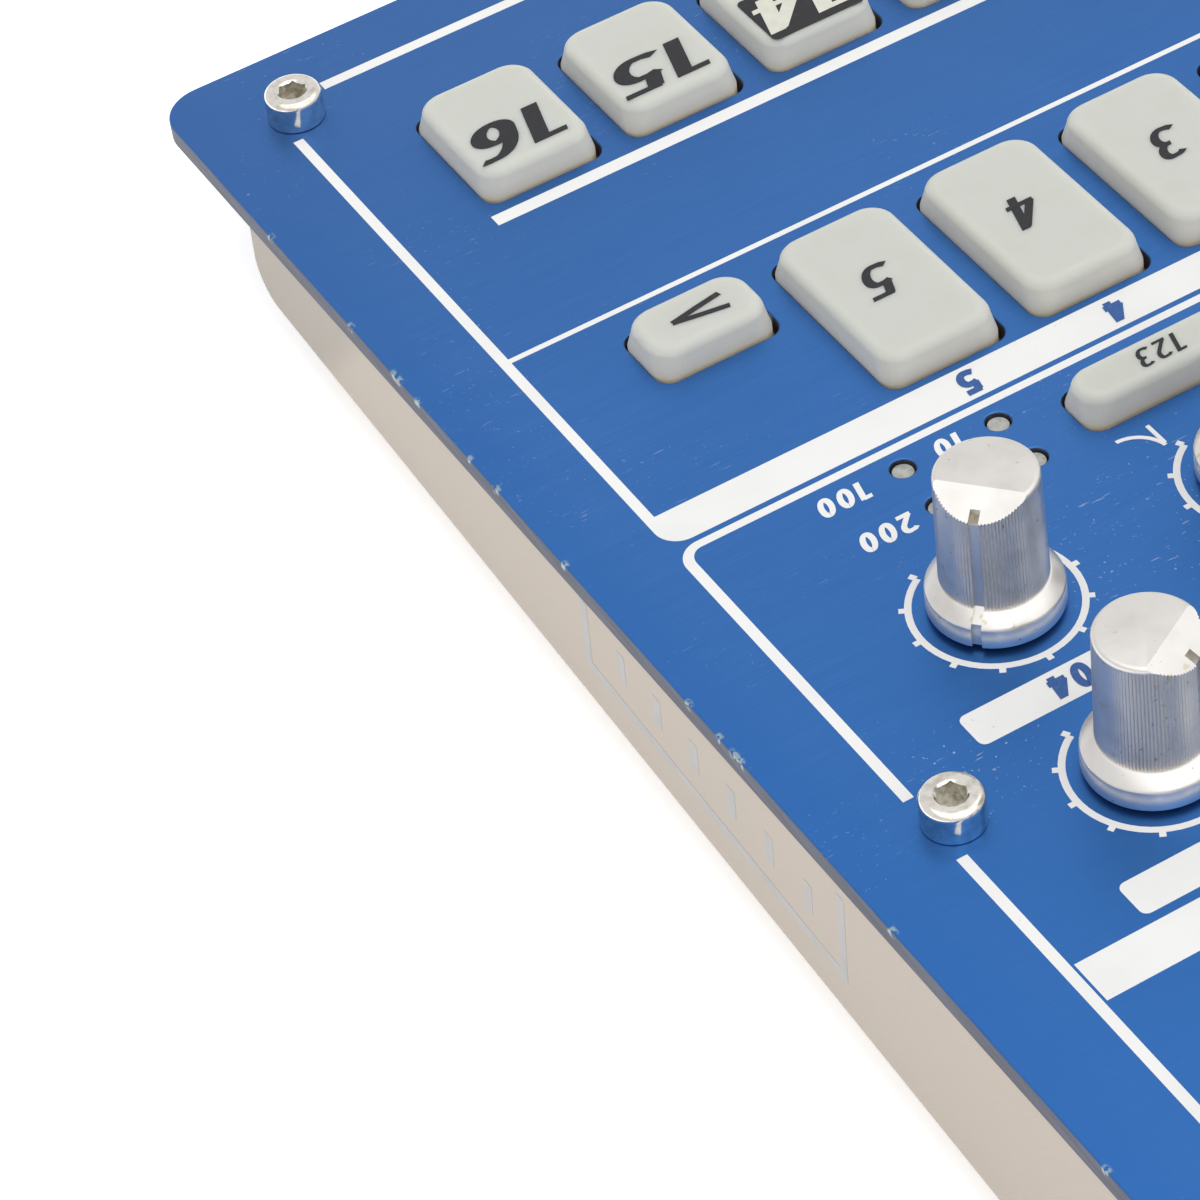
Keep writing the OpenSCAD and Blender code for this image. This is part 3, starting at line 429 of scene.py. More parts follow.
FINISHES = {
    "plate": brushed_blue(),
    "edge": worn_edge(),
    "white": white_print(),
    "silicone": key_silicone(),
    "dark": rubbed_print("dark_print", 0.9, (28, 28, 32), (48, 48, 52), 0.55),
    "blue": rubbed_print("blue_print", 0.7, (38, 82, 146), (66, 108, 166), 0.45),
    "pale": plain("pale_print", (203, 202, 189), (211, 210, 198), 1.4, 0.5, 0.004),
    "silver": satin_silver("knob_silver", (229, 226, 222), (217, 213, 208), 0.27, 0.72),
    # Painted shade: the grips' upright faces take a darker copy of the knob silver.
    "grip": satin_silver("knurled_silver_painted_shade", (216, 213, 209), (199, 196, 192), 0.33, 0.67),
    # Painted shade, with grime in the screws: the darker, browner walls inside the screws' sockets and
    # the knobs' pointer pockets.
    "socket": plain("recess_shade_and_grime", (166, 156, 134), (224, 219, 204), 0.7, 0.36, 0.04, metallic=0.7),
    "nickel": bright_nickel(),
    "dull_nickel": plain("dull_nickel", (196, 196, 194), (222, 222, 220), 1.0, 0.15, 0.01, metallic=1.0),
    "coat": case_coat(),
    "steel": plain("dark_steel", (52, 52, 56), (84, 84, 88), 1.5, 0.42, 0.01, metallic=0.9),
    "pot_steel": plain("pot_steel", (150, 150, 154), (186, 186, 188), 2.0, 0.34, 0.01, metallic=1.0),
    "rubber": plain("foot_rubber", (26, 26, 28), (44, 44, 46), 1.2, 0.75, 0.05),
    "board": board_laminate(),
    "mat": plain("mat_silicone", (176, 176, 166), (196, 196, 186), 6.0, 0.6, 0.02),
    "lens": plain("lens_plastic", (150, 150, 146), (178, 178, 172), 1.0, 0.28, 0.004),
    "window": clear_pane("window_plastic", 0.03, (246, 250, 252)),
    "glass": clear_pane("valve_glass_clear", 0.01, (250, 252, 252)),
    "display": plain("display_black", (24, 28, 30), (34, 40, 44), 3.0, 0.3, 0.003),
    "valve_metal": plain("valve_metal", (86, 86, 90), (128, 128, 130), 2.5, 0.38, 0.02, metallic=0.9),
    "ceramic": plain("ceramic", (222, 218, 208), (238, 235, 228), 3.0, 0.4, 0.01),
    "black": plain("black_plastic", (20, 20, 22), (36, 36, 38), 1.5, 0.42, 0.02),
    "strip": plain("strip_film", (18, 18, 20), (30, 30, 33), 4.0, 0.3, 0.004),
    "pinstripe": plain("pinstripe", (162, 161, 161), (170, 169, 169), 3.0, 0.4, 0.006, metallic=0.35),
    "screen": plain(
        "screen", (138, 164, 158), (150, 176, 170), 9.0, 0.35, 0.002,
        emission_color=(0.3, 0.42, 0.38, 1), emission_strength=0.3,
    ),
    "flash": plain("getter_flash", (140, 136, 130), (190, 186, 178), 2.0, 0.14, 0.004, metallic=1.0),
}

# ---- Making pieces ----


def face_outwards(bm):
    bmesh.ops.recalc_face_normals(bm, faces=bm.faces)


def finished(name, bm, finishes, body="case", place=ON_PANEL, smooth=40):
    """Turns a bmesh made in millimetres into a placed piece that rides on a body."""
    face_outwards(bm)
    bmesh.ops.transform(bm, matrix=place, verts=bm.verts)
    mesh = bpy.data.meshes.new(name)
    bm.to_mesh(mesh)
    bm.free()
    for finish in finishes:
        mesh.materials.append(FINISHES[finish])
    for polygon in mesh.polygons:
        polygon.use_smooth = True
    mesh.set_sharp_from_angle(angle=math.radians(smooth))
    piece = new_object(name, mesh)
    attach(piece, body)
    return piece


def turned(bm, outline, steps, axis_at=(0, 0)):
    """Adds a body of revolution from an outline of (radius, height) points."""
    x, y = axis_at
    points = [bm.verts.new((x + r, y, z)) for r, z in outline]
    edges = [bm.edges.new(pair) for pair in zip(points, points[1:])]
    bmesh.ops.spin(
        bm, geom=points + edges, cent=(x, y, 0), axis=(0, 0, 1),
        angle=math.tau, steps=steps, use_merge=True,
    )
    bmesh.ops.remove_doubles(bm, verts=bm.verts, dist=1e-5)


ROUND_STEPS = 48


def bow(x, y, across, up, start, end, steps=20):
    """Points along part of an ellipse, angles in degrees."""
    turns = [math.radians(start + (end - start) * i / steps) for i in range(steps + 1)]
    return [(x + across * math.cos(a), y + up * math.sin(a)) for a in turns]


def circle(x, y, radius, steps=ROUND_STEPS):
    return bow(x, y, radius, radius, 0, 360, steps)[:-1]


def rounded(w, d, r, x=0.0, y=0.0, steps=8):
    """Points round a rectangle with round corners."""
    r = min(r, w / 2 - 0.001, d / 2 - 0.001)
    corners = [(1, 1, 0), (-1, 1, 90), (-1, -1, 180), (1, -1, 270)]
    return [
        p
        for sx, sy, start in corners
        for p in bow(x + sx * (w / 2 - r), y + sy * (d / 2 - r), r, r, start, start + 90, steps)
    ]


def first_of(kind, made):
    """The first vertex, edge or face among what an operator made."""
    return next(part for part in made if isinstance(part, kind))


def skin(bm, rings):
    """Draws a face up through outlines of as many points each, given with their heights.

    The solid is closed; its first and its last face are given back."""
    points, z = rings[0]
    foot = end = bm.faces.new([bm.verts.new((x, y, z)) for x, y in points])
    for points, z in rings[1:]:
        made = bmesh.ops.extrude_face_region(bm, geom=[end, *end.edges])["geom"]
        end = first_of(bmesh.types.BMFace, made)
        for corner, (x, y) in zip(end.verts, points):
            corner.co = x, y, z
    return foot, end


def hoop(bm, rings):
    """Adds a closed ring through outlines of as many points each, the last joined to the first."""
    ends = skin(bm, [*rings, rings[0]])
    seam = [corner for face in ends for corner in face.verts]
    bmesh.ops.delete(bm, geom=ends, context="FACES_ONLY")
    bmesh.ops.remove_doubles(bm, verts=seam, dist=1e-6)


def slab(bm, points, low, high):
    skin(bm, [(points, low), (points, high)])


def prism(bm, outline, x0, x1):
    """Adds an outline of (y, z) points drawn out along x."""
    end = bm.faces.new([bm.verts.new((x0, y, z)) for y, z in outline])
    made = bmesh.ops.extrude_face_region(bm, geom=[end], use_keep_orig=True)["geom"]
    far = first_of(bmesh.types.BMFace, made)
    bmesh.ops.translate(bm, verts=far.verts, vec=(x1 - x0, 0, 0))


def add(bm, other, turn=None):
    """Adds a whole shape to another one."""
    if turn is not None:
        bmesh.ops.transform(other, matrix=turn, verts=other.verts)
    carried = bpy.data.meshes.new("carried")
    other.to_mesh(carried)
    other.free()
    bm.from_mesh(carried)
    bpy.data.meshes.remove(carried)


def dress(node, finish):
    """Gives a CAD node its finish."""
    mesh = nodes[node].data
    mesh.materials.clear()
    mesh.materials.append(FINISHES[finish])


# ---- Plate ----


PLATE_EDGE = 0.18


def make_plate():
    """The plate with a softened upper rim round its outline and every opening."""
    bm = bmesh.new()
    bm.from_mesh(nodes["top_panel"].data)
    bmesh.ops.transform(bm, matrix=ON_PANEL.inverted(), verts=bm.verts)
    bmesh.ops.remove_doubles(bm, verts=bm.verts, dist=1e-3)
    bmesh.ops.dissolve_limit(bm, angle_limit=math.radians(0.5), verts=bm.verts, edges=bm.edges)
    rims = []
    for edge in bm.edges:
        if len(edge.link_faces) == 2:
            wall, top = sorted(face.normal.z for face in edge.link_faces)
            if top > 0.99 and abs(wall) < 0.1 and all(abs(v.co.z) < 0.01 for v in edge.verts):
                rims.append(edge)
    bmesh.ops.bevel(
        bm, geom=rims, offset=PLATE_EDGE, segments=3, affect="EDGES", profile=0.5, material=-1
    )
    for face in bm.faces:
        face.material_index = 1 if abs(face.normal.z) < 0.5 else 0
    plate = finished("plate", bm, ["plate", "edge"], smooth=30)
    for polygon in plate.data.polygons:
        polygon.use_smooth = abs(polygon.normal.z) < 0.99
    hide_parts("top_panel")


BORDER_X, BORDER_W, CORNER_R = 167.44, 1.3, 3.0
BORDER_V, BORDER_GAP = (17.0, 265.0), 5.1
END_LINE_X, END_LINE_IN = 160.2, (8.75, 10.25)
STEP_LINE_X, STEP_LINE_V = 156.0, (43.98, 45.88)
SPLIT_LINE_V = (67.16, 67.92)
HEADER_V, FILTER_V, FILTER_HEADER_V = (99.55, 104.8), (105.58, 106.63), (179.5, 185.2)
SECTION_LINE = 1.1
# Ring and ticks round a knob, and its strip: half its length and its two sides behind the knob
KNOB_TURN, TICKS = 150, 11
RING_R, RING_W = 9.355, 0.78
TICK_REACH, TICK_W = (9.5, 10.35), 0.72
STRIP_HALF, STRIP_BACK, STRIP_R = 12.75, (11.7, 16.6), 0.9
# Print starts a little inside what it lies on, and each shape is a hair thicker than the last
PRINT_FOOT, PRINT_RISE, PRINT_STEP = -0.01, 0.02, 0.0002
# The numbers on the white strips start about as high as the last strip printed
STRIP_RISE = 0.06
# Labels beside the four indicators of the front row: text, x and v
FILTER_LABELS = [("10", 134.6, 109.4), ("20", 134.6, 117.0), ("100", 148.6, 109.7), ("200", 147.6, 117.0)]
FILTER_PEN = {"wide": 0.86, "heavy": 0.15, "slant": 0.2, "thin": 0.1}
LABEL_PEN = {"wide": 0.86, "heavy": 0.16, "slant": 0.2, "thin": 0.11}
STRIP_PEN = {"wide": 0.8, "heavy": 0.17, "slant": 0.12, "thin": 0.12}
LABEL_H = 2.6
FADER_TRAVEL, FADER_MARKS = 60, 11


class Ink:
    """Print: flat shapes that lie on the plate, each a hair thicker than the last."""

    def __init__(self, rise=PRINT_RISE):
        self.bm = bmesh.new()
        self.rise = rise

    def level(self):
        self.rise += PRINT_STEP
        return self.rise

    def patch(self, points):
        slab(self.bm, points, PRINT_FOOT, self.level())

    def bar(self, x0, x1, v0, v1, radius=0.01):
        self.patch(rounded(x1 - x0, v1 - v0, radius, (x0 + x1) / 2, (v0 + v1) / 2, 5))

    def arc(self, x, v, radius, width, start, end, steps=48):
        """Part of a ring, angles clockwise from straight back, in degrees."""
        top = self.level()
        inner, outer = radius - width / 2, radius + width / 2
        first = Matrix.Rotation(-math.radians(start), 4, "Z") @ Vector((0, 1, 0))
        corners = [(inner, PRINT_FOOT), (outer, PRINT_FOOT), (outer, top), (inner, top)]
        made = [self.bm.verts.new((x + first.x * r, v + first.y * r, z)) for r, z in corners]
        face = self.bm.faces.new(made)
        bmesh.ops.spin(
            self.bm, geom=[face, *face.verts, *face.edges], cent=(x, v, 0), axis=(0, 0, -1),
            angle=math.radians(end - start), steps=steps,
        )

    def tick(self, x, v, angle, near, far, width):
        """A short bar that points away from x, v."""
        a = math.radians(angle)
        here, out = Vector((x, v)), Vector((math.sin(a), math.cos(a)))
        side = Vector((math.cos(a), -math.sin(a))) * width / 2
        inner, outer = here + out * near, here + out * far
        self.patch([tuple(p) for p in (outer - side, outer + side, inner + side, inner - side)])

    def scale(self, x, v):
        """The ring and the ticks round a knob."""
        self.arc(x, v, RING_R, RING_W, -KNOB_TURN, KNOB_TURN)
        for i in range(TICKS):
            angle = 2 * KNOB_TURN * i / (TICKS - 1) - KNOB_TURN
            self.tick(x, v, angle, *TICK_REACH, TICK_W)

    def frame(self, x0, x1, v0, v1, header=5.7):
        """A section: round-cornered line in front and at the sides, and a header strip behind."""
        half, r = SECTION_LINE / 2, CORNER_R - SECTION_LINE / 2
        self.bar(x0 + r, x1 - r, v0 - half, v0 + half)
        for x, start in ((x1 - r, 90), (x0 + r, 180)):
            self.arc(x, v0 + r, r, SECTION_LINE, start, start + 90, 12)
        for x in (x0, x1):
            self.bar(x - half, x + half, v0 + r, v1)
        if header:
            self.bar(x0 - half, x1 + half, v1, v1 + header)

    def finished(self, name, finish="white", slot="blue_plate"):
        finished(name, self.bm, [finish])


def header_outline(x0, x1, v0, v1):
    """A strip whose two rear corners are round."""
    r = CORNER_R
    right = bow(x1 - r, v1 - r, r, r, 0, 90, 10)
    left = bow(x0 + r, v1 - r, r, r, 90, 180, 10)
    return [(x0, v0), (x1, v0), *right, *left]


def make_border(ink):
    """The line round the whole plate, the keys' lines and the header strip behind them."""
    half = BORDER_W / 2
    outer = BORDER_X + half
    screw_v = SCREW_V[1]
    for side in (-1, 1):
        x = side * BORDER_X
        ink.bar(x - half, x + half, BORDER_V[0], HEADER_V[0] + 0.05)
        ink.bar(x - half, x + half, FILTER_V[0] + CORNER_R, screw_v - BORDER_GAP)
        ink.bar(x - half, x + half, screw_v + BORDER_GAP - 0.4, BORDER_V[1])
    ink.bar(-END_LINE_X, END_LINE_X, *END_LINE_IN)
    ink.bar(-STEP_LINE_X, STEP_LINE_X, *STEP_LINE_V)
    ink.bar(-outer, outer, *SPLIT_LINE_V)
    ink.patch(header_outline(-outer, outer, *HEADER_V))
    reach, bend_v = outer - CORNER_R, FILTER_V[0] + CORNER_R
    ink.bar(-reach, reach, *FILTER_V)
    across, up = CORNER_R - BORDER_W, bend_v - FILTER_V[1]
    for x, start in ((reach, 270), (-reach, 180)):
        outside = bow(x, bend_v, CORNER_R, CORNER_R, start, start + 90)
        ink.patch(outside + bow(x, bend_v, across, up, start + 90, start))
    ink.bar(-END_LINE_X, END_LINE_X, PANEL_D - END_LINE_IN[1], PANEL_D - END_LINE_IN[0])


def print_sections(ink):
    """Header strips and dividing lines of the knob sections, and each knob's scale and strip."""
    split, start, back = (knob_x(1) + knob_x(2)) / 2, FILTER_V[1] - 0.1, FILTER_HEADER_V
    half, end = SECTION_LINE / 2, knob_x(3) - 17.2
    ink.bar(split, BORDER_X - 1.0, *back)
    ink.bar(split - half, split + half, start, back[1])
    ink.bar(end, split - SECTION_LINE, *back)
    ink.bar(end - half, end + half, start, back[1])
    for _, x, v, _ in KNOBS:
        ink.scale(x, v)
        ink.bar(x - STRIP_HALF, x + STRIP_HALF, v + STRIP_BACK[0], v + STRIP_BACK[1], STRIP_R)


def print_dial_and_fader(ink):
    """The dial's arc, and the fader's scale."""
    ink.arc(*DIAL, DIAL_R + 3, RING_W, -60, 60)
    for angle in (-60, 60):
        ink.tick(*DIAL, angle, DIAL_R + 1.4, DIAL_R + 4.6, RING_W)
    x, v = FADER
    step = FADER_TRAVEL / (FADER_MARKS - 1)
    for i in range(FADER_MARKS):
        here = v - FADER_TRAVEL / 2 + step * i
        reach = 4.0 if i % 5 else 5.4
        for side in (-1, 1):
            near, far = sorted((side * 1.9, side * reach))
            ink.bar(x + near, x + far, here - 0.3, here + 0.3)


def print_windows(ink):
    """Frames round the display and round the window over the valves."""
    x, v, w, d = DISPLAY
    ink.frame(x - w / 2 - 3, x + w / 2 + 3, 131.4, v + d / 2 + 3.2)
    x, v, w, d = VALVE_WINDOW
    gap, half = 3.4, SECTION_LINE / 2
    reach = w / 2 + gap
    ink.frame(x - reach, x + reach, v - d / 2 - gap, v + d / 2 + gap, header=0)
    ink.bar(x - reach - half, x + reach + half, v + d / 2 + 3.0, v + d / 2 + 4.1)


def print_labels(ink):
    """Plain numbers beside the indicators, the function keys, the fader and the sockets."""
    for text, x, v in FILTER_LABELS:
        number(ink.bm, text, x, v, 2.8, 0.0, **FILTER_PEN)
    for leds in (LEDS_DISPLAY, LEDS_BACK):
        for i, (x, v) in enumerate(leds):
            number(ink.bm, str(i + 1), x + 4.4, v, LABEL_H, 0.0, **LABEL_PEN)
    for i, (x, v) in enumerate(PILLS):
        number(ink.bm, str(i + 1), x, v + 6.4, LABEL_H, 0.0, **LABEL_PEN)
    x, v = FADER
    for text, place in (("0", -0.5), ("5", 0), ("10", 0.5)):
        number(ink.bm, text, x + 9.0, v + place * FADER_TRAVEL, LABEL_H, 0.0, **LABEL_PEN)
    for i, x in enumerate(SOCKETS):
        number(ink.bm, str(i + 1), x, PANEL_D - 4.9, 2.4, 0.0, **LABEL_PEN)


def make_print():
    ink = Ink()
    make_border(ink)
    print_sections(ink)
    print_dial_and_fader(ink)
    print_windows(ink)
    # Falling curve beside the first knob of the filter row
    x, v = 116.3, 119.9
    ink.bar(x - 0.25, x + 0.25, v, v + 3.4)
    ink.arc(x + 4.2, v + 4.3, 4.1, 0.5, 180, 262, 12)
    print_labels(ink)
    ink.finished("plate_print")


def make_strip_numbers():
    """Blue numbers on the white strips."""
    ink = Ink()
    for i, (_, x, v, _) in enumerate(KNOBS):
        number(ink.bm, f"{i + 1:02d}", x, v + sum(STRIP_BACK) / 2, 3.3, STRIP_RISE, **STRIP_PEN)
    for i in range(1, 6):
        number(ink.bm, str(i), column(i + 10), sum(HEADER_V) / 2, 3.5, STRIP_RISE, **STRIP_PEN)
    ink.finished("strip_numbers", "blue")


# ---- Keys ----

LITTLE_D, SMALL_D = 9.6, 11.6
ACCENT_V = PART_V - (PART_D - LITTLE_D) / 2
# Every key body: x, v, width and depth of each of its keys
KEY_PLACES = {f"step_key_{i}": [(column(i), STEP_V, KEY_W, STEP_D)] for i in range(1, 17)}
KEY_PLACES |= {f"part_key_{i - 10}": [(column(i), PART_V, KEY_W, PART_D)] for i in range(11, 16)}
KEY_PLACES["accent_key"] = [(column(16), ACCENT_V, KEY_W, LITTLE_D)]
KEY_PLACES["type_key"] = [(knob_x(1), PILL_V, PILL_W, PILL_D)]
KEY_PLACES["drum_keys"] = (
    [(column(i), PART_V, KEY_W, PART_D) for i in range(3, 8)]
    + [(column(i), PART_V + s * (PART_D - SMALL_D) / 2, KEY_W, SMALL_D) for i in (8, 9) for s in (-1, 1)]
    + [(column(10), ACCENT_V, KEY_W, LITTLE_D)]
)
KEY_PLACES["function_keys"] = [(column(i), PART_V, KEY_W, PART_D) for i in (1, 2)] + [
    (column(2) + i * PILL_PITCH, PILL_V, PILL_W, PILL_D) for i in range(6)
]

KEY_R, KEY_FOOT_R, KEY_EDGE, KEY_TAPER, KEY_LIP, KEY_WALL = 3.1, 2.5, 1.3, 0.35, 0.8, 1.8
# The moulded keys sit a little off the middle of their openings, and swell in width
KEY_SHIFT, KEY_SWELL = (0.17, -0.13), (0.18, -0.12)
LIP_TOP, LIP_T, SKIRT_H = -2.8, 1, BOARD_H + 1.5
KEY_EDGE_STEPS, KEY_FLAT_INSET, KEY_POST_R = 8, 2.8, 2


def key_solid(bm, x, v, w, d):
    """Soft-edged cap on its stem, with the lip, the hollow skirt and the contact post below."""

    def ring(inset, h, radius):
        return rounded(w - 2 * inset, d - 2 * inset, radius, x, v), h

    x, v = x + KEY_SHIFT[0], v + KEY_SHIFT[1]
    w, d = w + KEY_SWELL[0], d + KEY_SWELL[1]
    roof, hollow_r = -PANEL_T / 2, KEY_R / 2
    lip_foot, lip_r = LIP_TOP - LIP_T, KEY_R + KEY_LIP / 2
    rings = [
        ring(KEY_WALL, roof, hollow_r), ring(KEY_WALL, SKIRT_H, hollow_r),
        ring(0, SKIRT_H, KEY_R), ring(0, lip_foot, KEY_R),
        ring(-KEY_LIP, lip_foot, lip_r), ring(-KEY_LIP, LIP_TOP, lip_r),
        ring(0, LIP_TOP, KEY_FOOT_R), ring(0, 0, KEY_FOOT_R),
    ]
    for i in range(KEY_EDGE_STEPS + 1):
        a = math.radians(90 * i / KEY_EDGE_STEPS)
        inset = KEY_TAPER + KEY_EDGE * (1 - math.cos(a))
        rings.append(ring(inset, KEY_TOP - KEY_EDGE * (1 - math.sin(a)), KEY_R - inset / 4))
    rings.append(ring(KEY_FLAT_INSET, KEY_TOP, KEY_R / 2))
    skin(bm, rings)
    post_r = min(KEY_POST_R, d / 2 - KEY_WALL - 0.3)
    slab(bm, circle(x, v, post_r, 24), SKIRT_H, roof + 0.05)


def make_keys():
    for body, places in KEY_PLACES.items():
        bm = bmesh.new()
        for place in places:
            key_solid(bm, *place)
        piece = finished(body + "_cap", bm, ["silicone"], body)
        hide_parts(body)


# Thickness of a pen's trace, how much it rises on its way, and how much more each stroke has
PEN_T, PEN_RISE, PEN_LIFT = 0.03, 0.004, 0.006
# Width of each numeral and the strokes of a broad pen that draw it, 1 high
NUMERALS = {
    "0": (0.78, [bow(0.39, 0.5, 0.25, 0.44, 90, 450, 40)]),
    "1": (0.58, [[(0.44, 1.0), (0.44, 0)], [(0.0, 0.94), (0.44, 0.94)]]),
    "2": (0.78, [
        [(0.05, 0.83), (0.15, 0.92), *bow(0.40, 0.70, 0.22, 0.24, 110, -35), (0.40, 0.35), (0.14, 0.07)],
        [(0.05, 0.06), (0.76, 0.06)],
    ]),
    "3": (0.76, [
        [(0.05, 0.86), (0.16, 0.925), *bow(0.38, 0.735, 0.20, 0.205, 100, -90), (0.26, 0.53)],
        [(0.28, 0.53), *bow(0.38, 0.295, 0.235, 0.235, 90, -100), (0.2, 0.07), (0.03, 0.13)],
    ]),
    "4": (0.82, [[(0.56, 1.0), (0.56, 0)], [(0.52, 0.96), (0.12, 0.27)], [(0.03, 0.26), (0.82, 0.26)]]),
    "5": (0.79, [
        [(0.10, 0.94), (0.73, 0.94)],
        [(0.20, 0.96), (0.17, 0.57)],
        [
            (0.06, 0.565), (0.22, 0.605), *bow(0.40, 0.335, 0.245, 0.275, 100, -100),
            (0.2, 0.07), (0.02, 0.12),
        ],
    ]),
    "6": (0.78, [
        [
            (0.70, 0.93), (0.58, 0.945), *bow(0.46, 0.48, 0.32, 0.46, 95, 180),
            *bow(0.385, 0.31, 0.245, 0.25, 180, 540, 36),
        ]
    ]),
    "7": (0.72, [[(0.02, 0.93), (0.70, 0.93)], [(0.62, 0.95), (0.42, 0.5), (0.28, 0)]]),
    "8": (0.78, [bow(0.39, 0.75, 0.20, 0.19, -90, 270, 32), bow(0.39, 0.30, 0.25, 0.24, 90, 450, 36)]),
}
NUMERALS["9"] = (0.78, [[(0.78 - x, 1 - y) for x, y in stroke] for stroke in NUMERALS["6"][1]])


def pen_stroke(bm, points, heavy, thin, shape, low, high):
    """Adds the trace of a broad pen along points, as a thin solid; shape places a point.

    The trace rises a hair on its way, so that it nowhere crosses itself at one height."""
    closed = math.dist(points[0], points[-1]) < 1e-6
    count = len(points) - 1
    nib, trace = None, []
    for i, (x, y) in enumerate(points):
        before = points[(i - 1) % count] if closed else points[max(i - 1, 0)]
        after = points[(i + 1) % count] if closed else points[min(i + 1, count)]
        across = Vector((before[1] - after[1], after[0] - before[0])).normalized()
        reach = math.hypot(heavy * across.x, thin * across.y)
        push = Vector((heavy**2 * across.x, thin**2 * across.y)) / reach
        height = low + PEN_RISE * i / count
        ends = [(*shape(x + s * push.x, y + s * push.y), height) for s in (1, -1)]
        if nib is None:
            nib = bm.edges.new([bm.verts.new(end) for end in ends])
            continue
        made = bmesh.ops.extrude_edge_only(bm, edges=[nib])["geom"]
        nib = first_of(bmesh.types.BMEdge, made)
        trace.append(first_of(bmesh.types.BMFace, made))
        for corner, end in zip(nib.verts, ends):
            corner.co = end
    grown = bmesh.ops.extrude_face_region(bm, geom=trace, use_keep_orig=True)["geom"]
    upper = [part for part in grown if isinstance(part, bmesh.types.BMVert)]
    bmesh.ops.translate(bm, verts=upper, vec=(0, 0, high - low))


def number(bm, text, x, v, height, low, wide=1.15, heavy=0.14, slant=0.27, gap=0.2, thin=0.06):
    """Adds a whole number drawn with the broad pen, its foot centred on a place of the plate."""
    drawn = bmesh.new()
    start = -(sum(NUMERALS[c][0] * wide + gap for c in text) - gap) / 2
    for c in text:
        width, strokes = NUMERALS[c]
        for k, stroke in enumerate(strokes):

            def shape(px, py, start=start):
                return x + height * (start + px * wide + slant * py), v + height * (py - 0.5)

            pen_stroke(drawn, stroke, heavy, thin, shape, low, low + PEN_T + PEN_LIFT * k)
        start += width * wide + gap
    add(bm, drawn)


# Step keys whose number stands light in a dark field, as on a keyboard's raised keys
DARK_FIELDS = (2, 5, 7, 9, 12, 14)
STEP_NUMBER_V, PART_NUMBER_V = 36.05, 85.1
FIELD_W, FIELD_D, FIELD_R, FIELD_T = 12.9, 9.2, 0.8, 0.025
ON_KEY = KEY_TOP - 0.005
KEY_PEN = {"wide": 0.79, "heavy": 0.13}
PILL_PEN = {"wide": 0.75, "heavy": 0.12}


def key_number(name, body, text, x, v, height, low=ON_KEY, finish="dark", **pen):
    """One number printed on a key."""
    bm = bmesh.new()
    number(bm, text, x, v, height, low, **pen)
    finished(name, bm, [finish], body)


def make_key_numbers():
    for i in range(1, 17):
        name, body, x, v = f"step_number_{i}", f"step_key_{i}", column(i), STEP_NUMBER_V
        if i in DARK_FIELDS:
            bm = bmesh.new()
            slab(bm, rounded(FIELD_W, FIELD_D, FIELD_R, x + 0.15, v), KEY_TOP - 0.01, KEY_TOP + FIELD_T)
            finished(f"step_field_{i}", bm, ["dark"], body)
            key_number(name, body, str(i), x - 0.6, v, 6.7, KEY_TOP + 0.02, "pale")
        else:
            key_number(name, body, str(i), x - 0.6, v, 6.75)
    for i in range(1, 6):
        x = column(i + 10) + 0.17
        key_number(f"part_number_{i}", f"part_key_{i}", str(i), x, PART_NUMBER_V, 5.6, **KEY_PEN)
    key_number("type_number", "type_key", "123", knob_x(1) - 0.4, PILL_V, 3.0, **PILL_PEN)
    for group in ("function", "drum"):
        body = f"{group}_keys"
        for k, (x, v, _, d) in enumerate(KEY_PLACES[body], 1):
            height = {PART_D: 5.6, PILL_D: 3.0}.get(d, 4.2)
            key_number(f"{group}_number_{k}", body, str(k), x, v, height, **KEY_PEN)


def make_accent_sign():
    """A plain sign of two strokes that meet in a point."""
    bm = bmesh.new()
    upper, lower = [(-3.4, 1.25), (0, 0.66), (3.4, 0)], [(3.4, 0), (0, -0.66), (-3.4, -1.25)]

    def on_accent(px, py):
        return column(16) + px, ACCENT_V + py

    for stroke, high in ((upper, KEY_TOP + 0.025), (lower, KEY_TOP + 0.032)):
        pen_stroke(bm, stroke, 0.5, 0.36, on_accent, ON_KEY, high)
    finished("accent_sign", bm, ["dark"], "accent_key")


# ---- Knobs ----

FACET_START, FACET_SLOPE = 2.2, math.atan2(2.3, 3.47)
GRIP_FOOT, GRIP_INNER, TEETH, TOOTH = 4.1, 5.25, 96, 0.17
POCKET_START, POCKET_DROP, GROOVE_W = 4.3, 2.7, 1.1
SHAFT_R, SHAFT_REACH = 3.0, 0.2
# Turned metal is shaded smooth up to this angle between faces
SMOOTH_METAL = 28


def toothed(bm, low, high, teeth, depth):
    """Presses upright teeth into what stands between two heights."""
    for v in bm.verts:
        if low < v.co.z < high:
            angle = math.atan2(v.co.y, v.co.x)
            radius = math.hypot(v.co.x, v.co.y)
            v.co.xy *= 1 - depth * (0.5 - 0.5 * math.cos(teeth * angle)) / radius


def grip_faces(bm, radius, low, high):
    """Marks the upright faces of a grip for the second finish, a darker copy of the silver that paints
    shade on them.
    """
    for face in bm.faces:
        centre = face.calc_center_median()
        if abs(face.normal.z) < 0.3 and centre.xy.length > radius and low < centre.z < high:
            face.material_index = 1


def pocket_wall(bm):
    """Marks the inner wall of the pointer's pocket for the third finish, whose darker colour is painted
    shade.
    """
    for face in bm.faces:
        centre = face.calc_center_median()
        at_wall = abs(centre.y - POCKET_START) < 0.01 and abs(face.normal.y) > 0.9
        if at_wall and abs(centre.x) < GROOVE_W / 2:
            face.material_index = 2


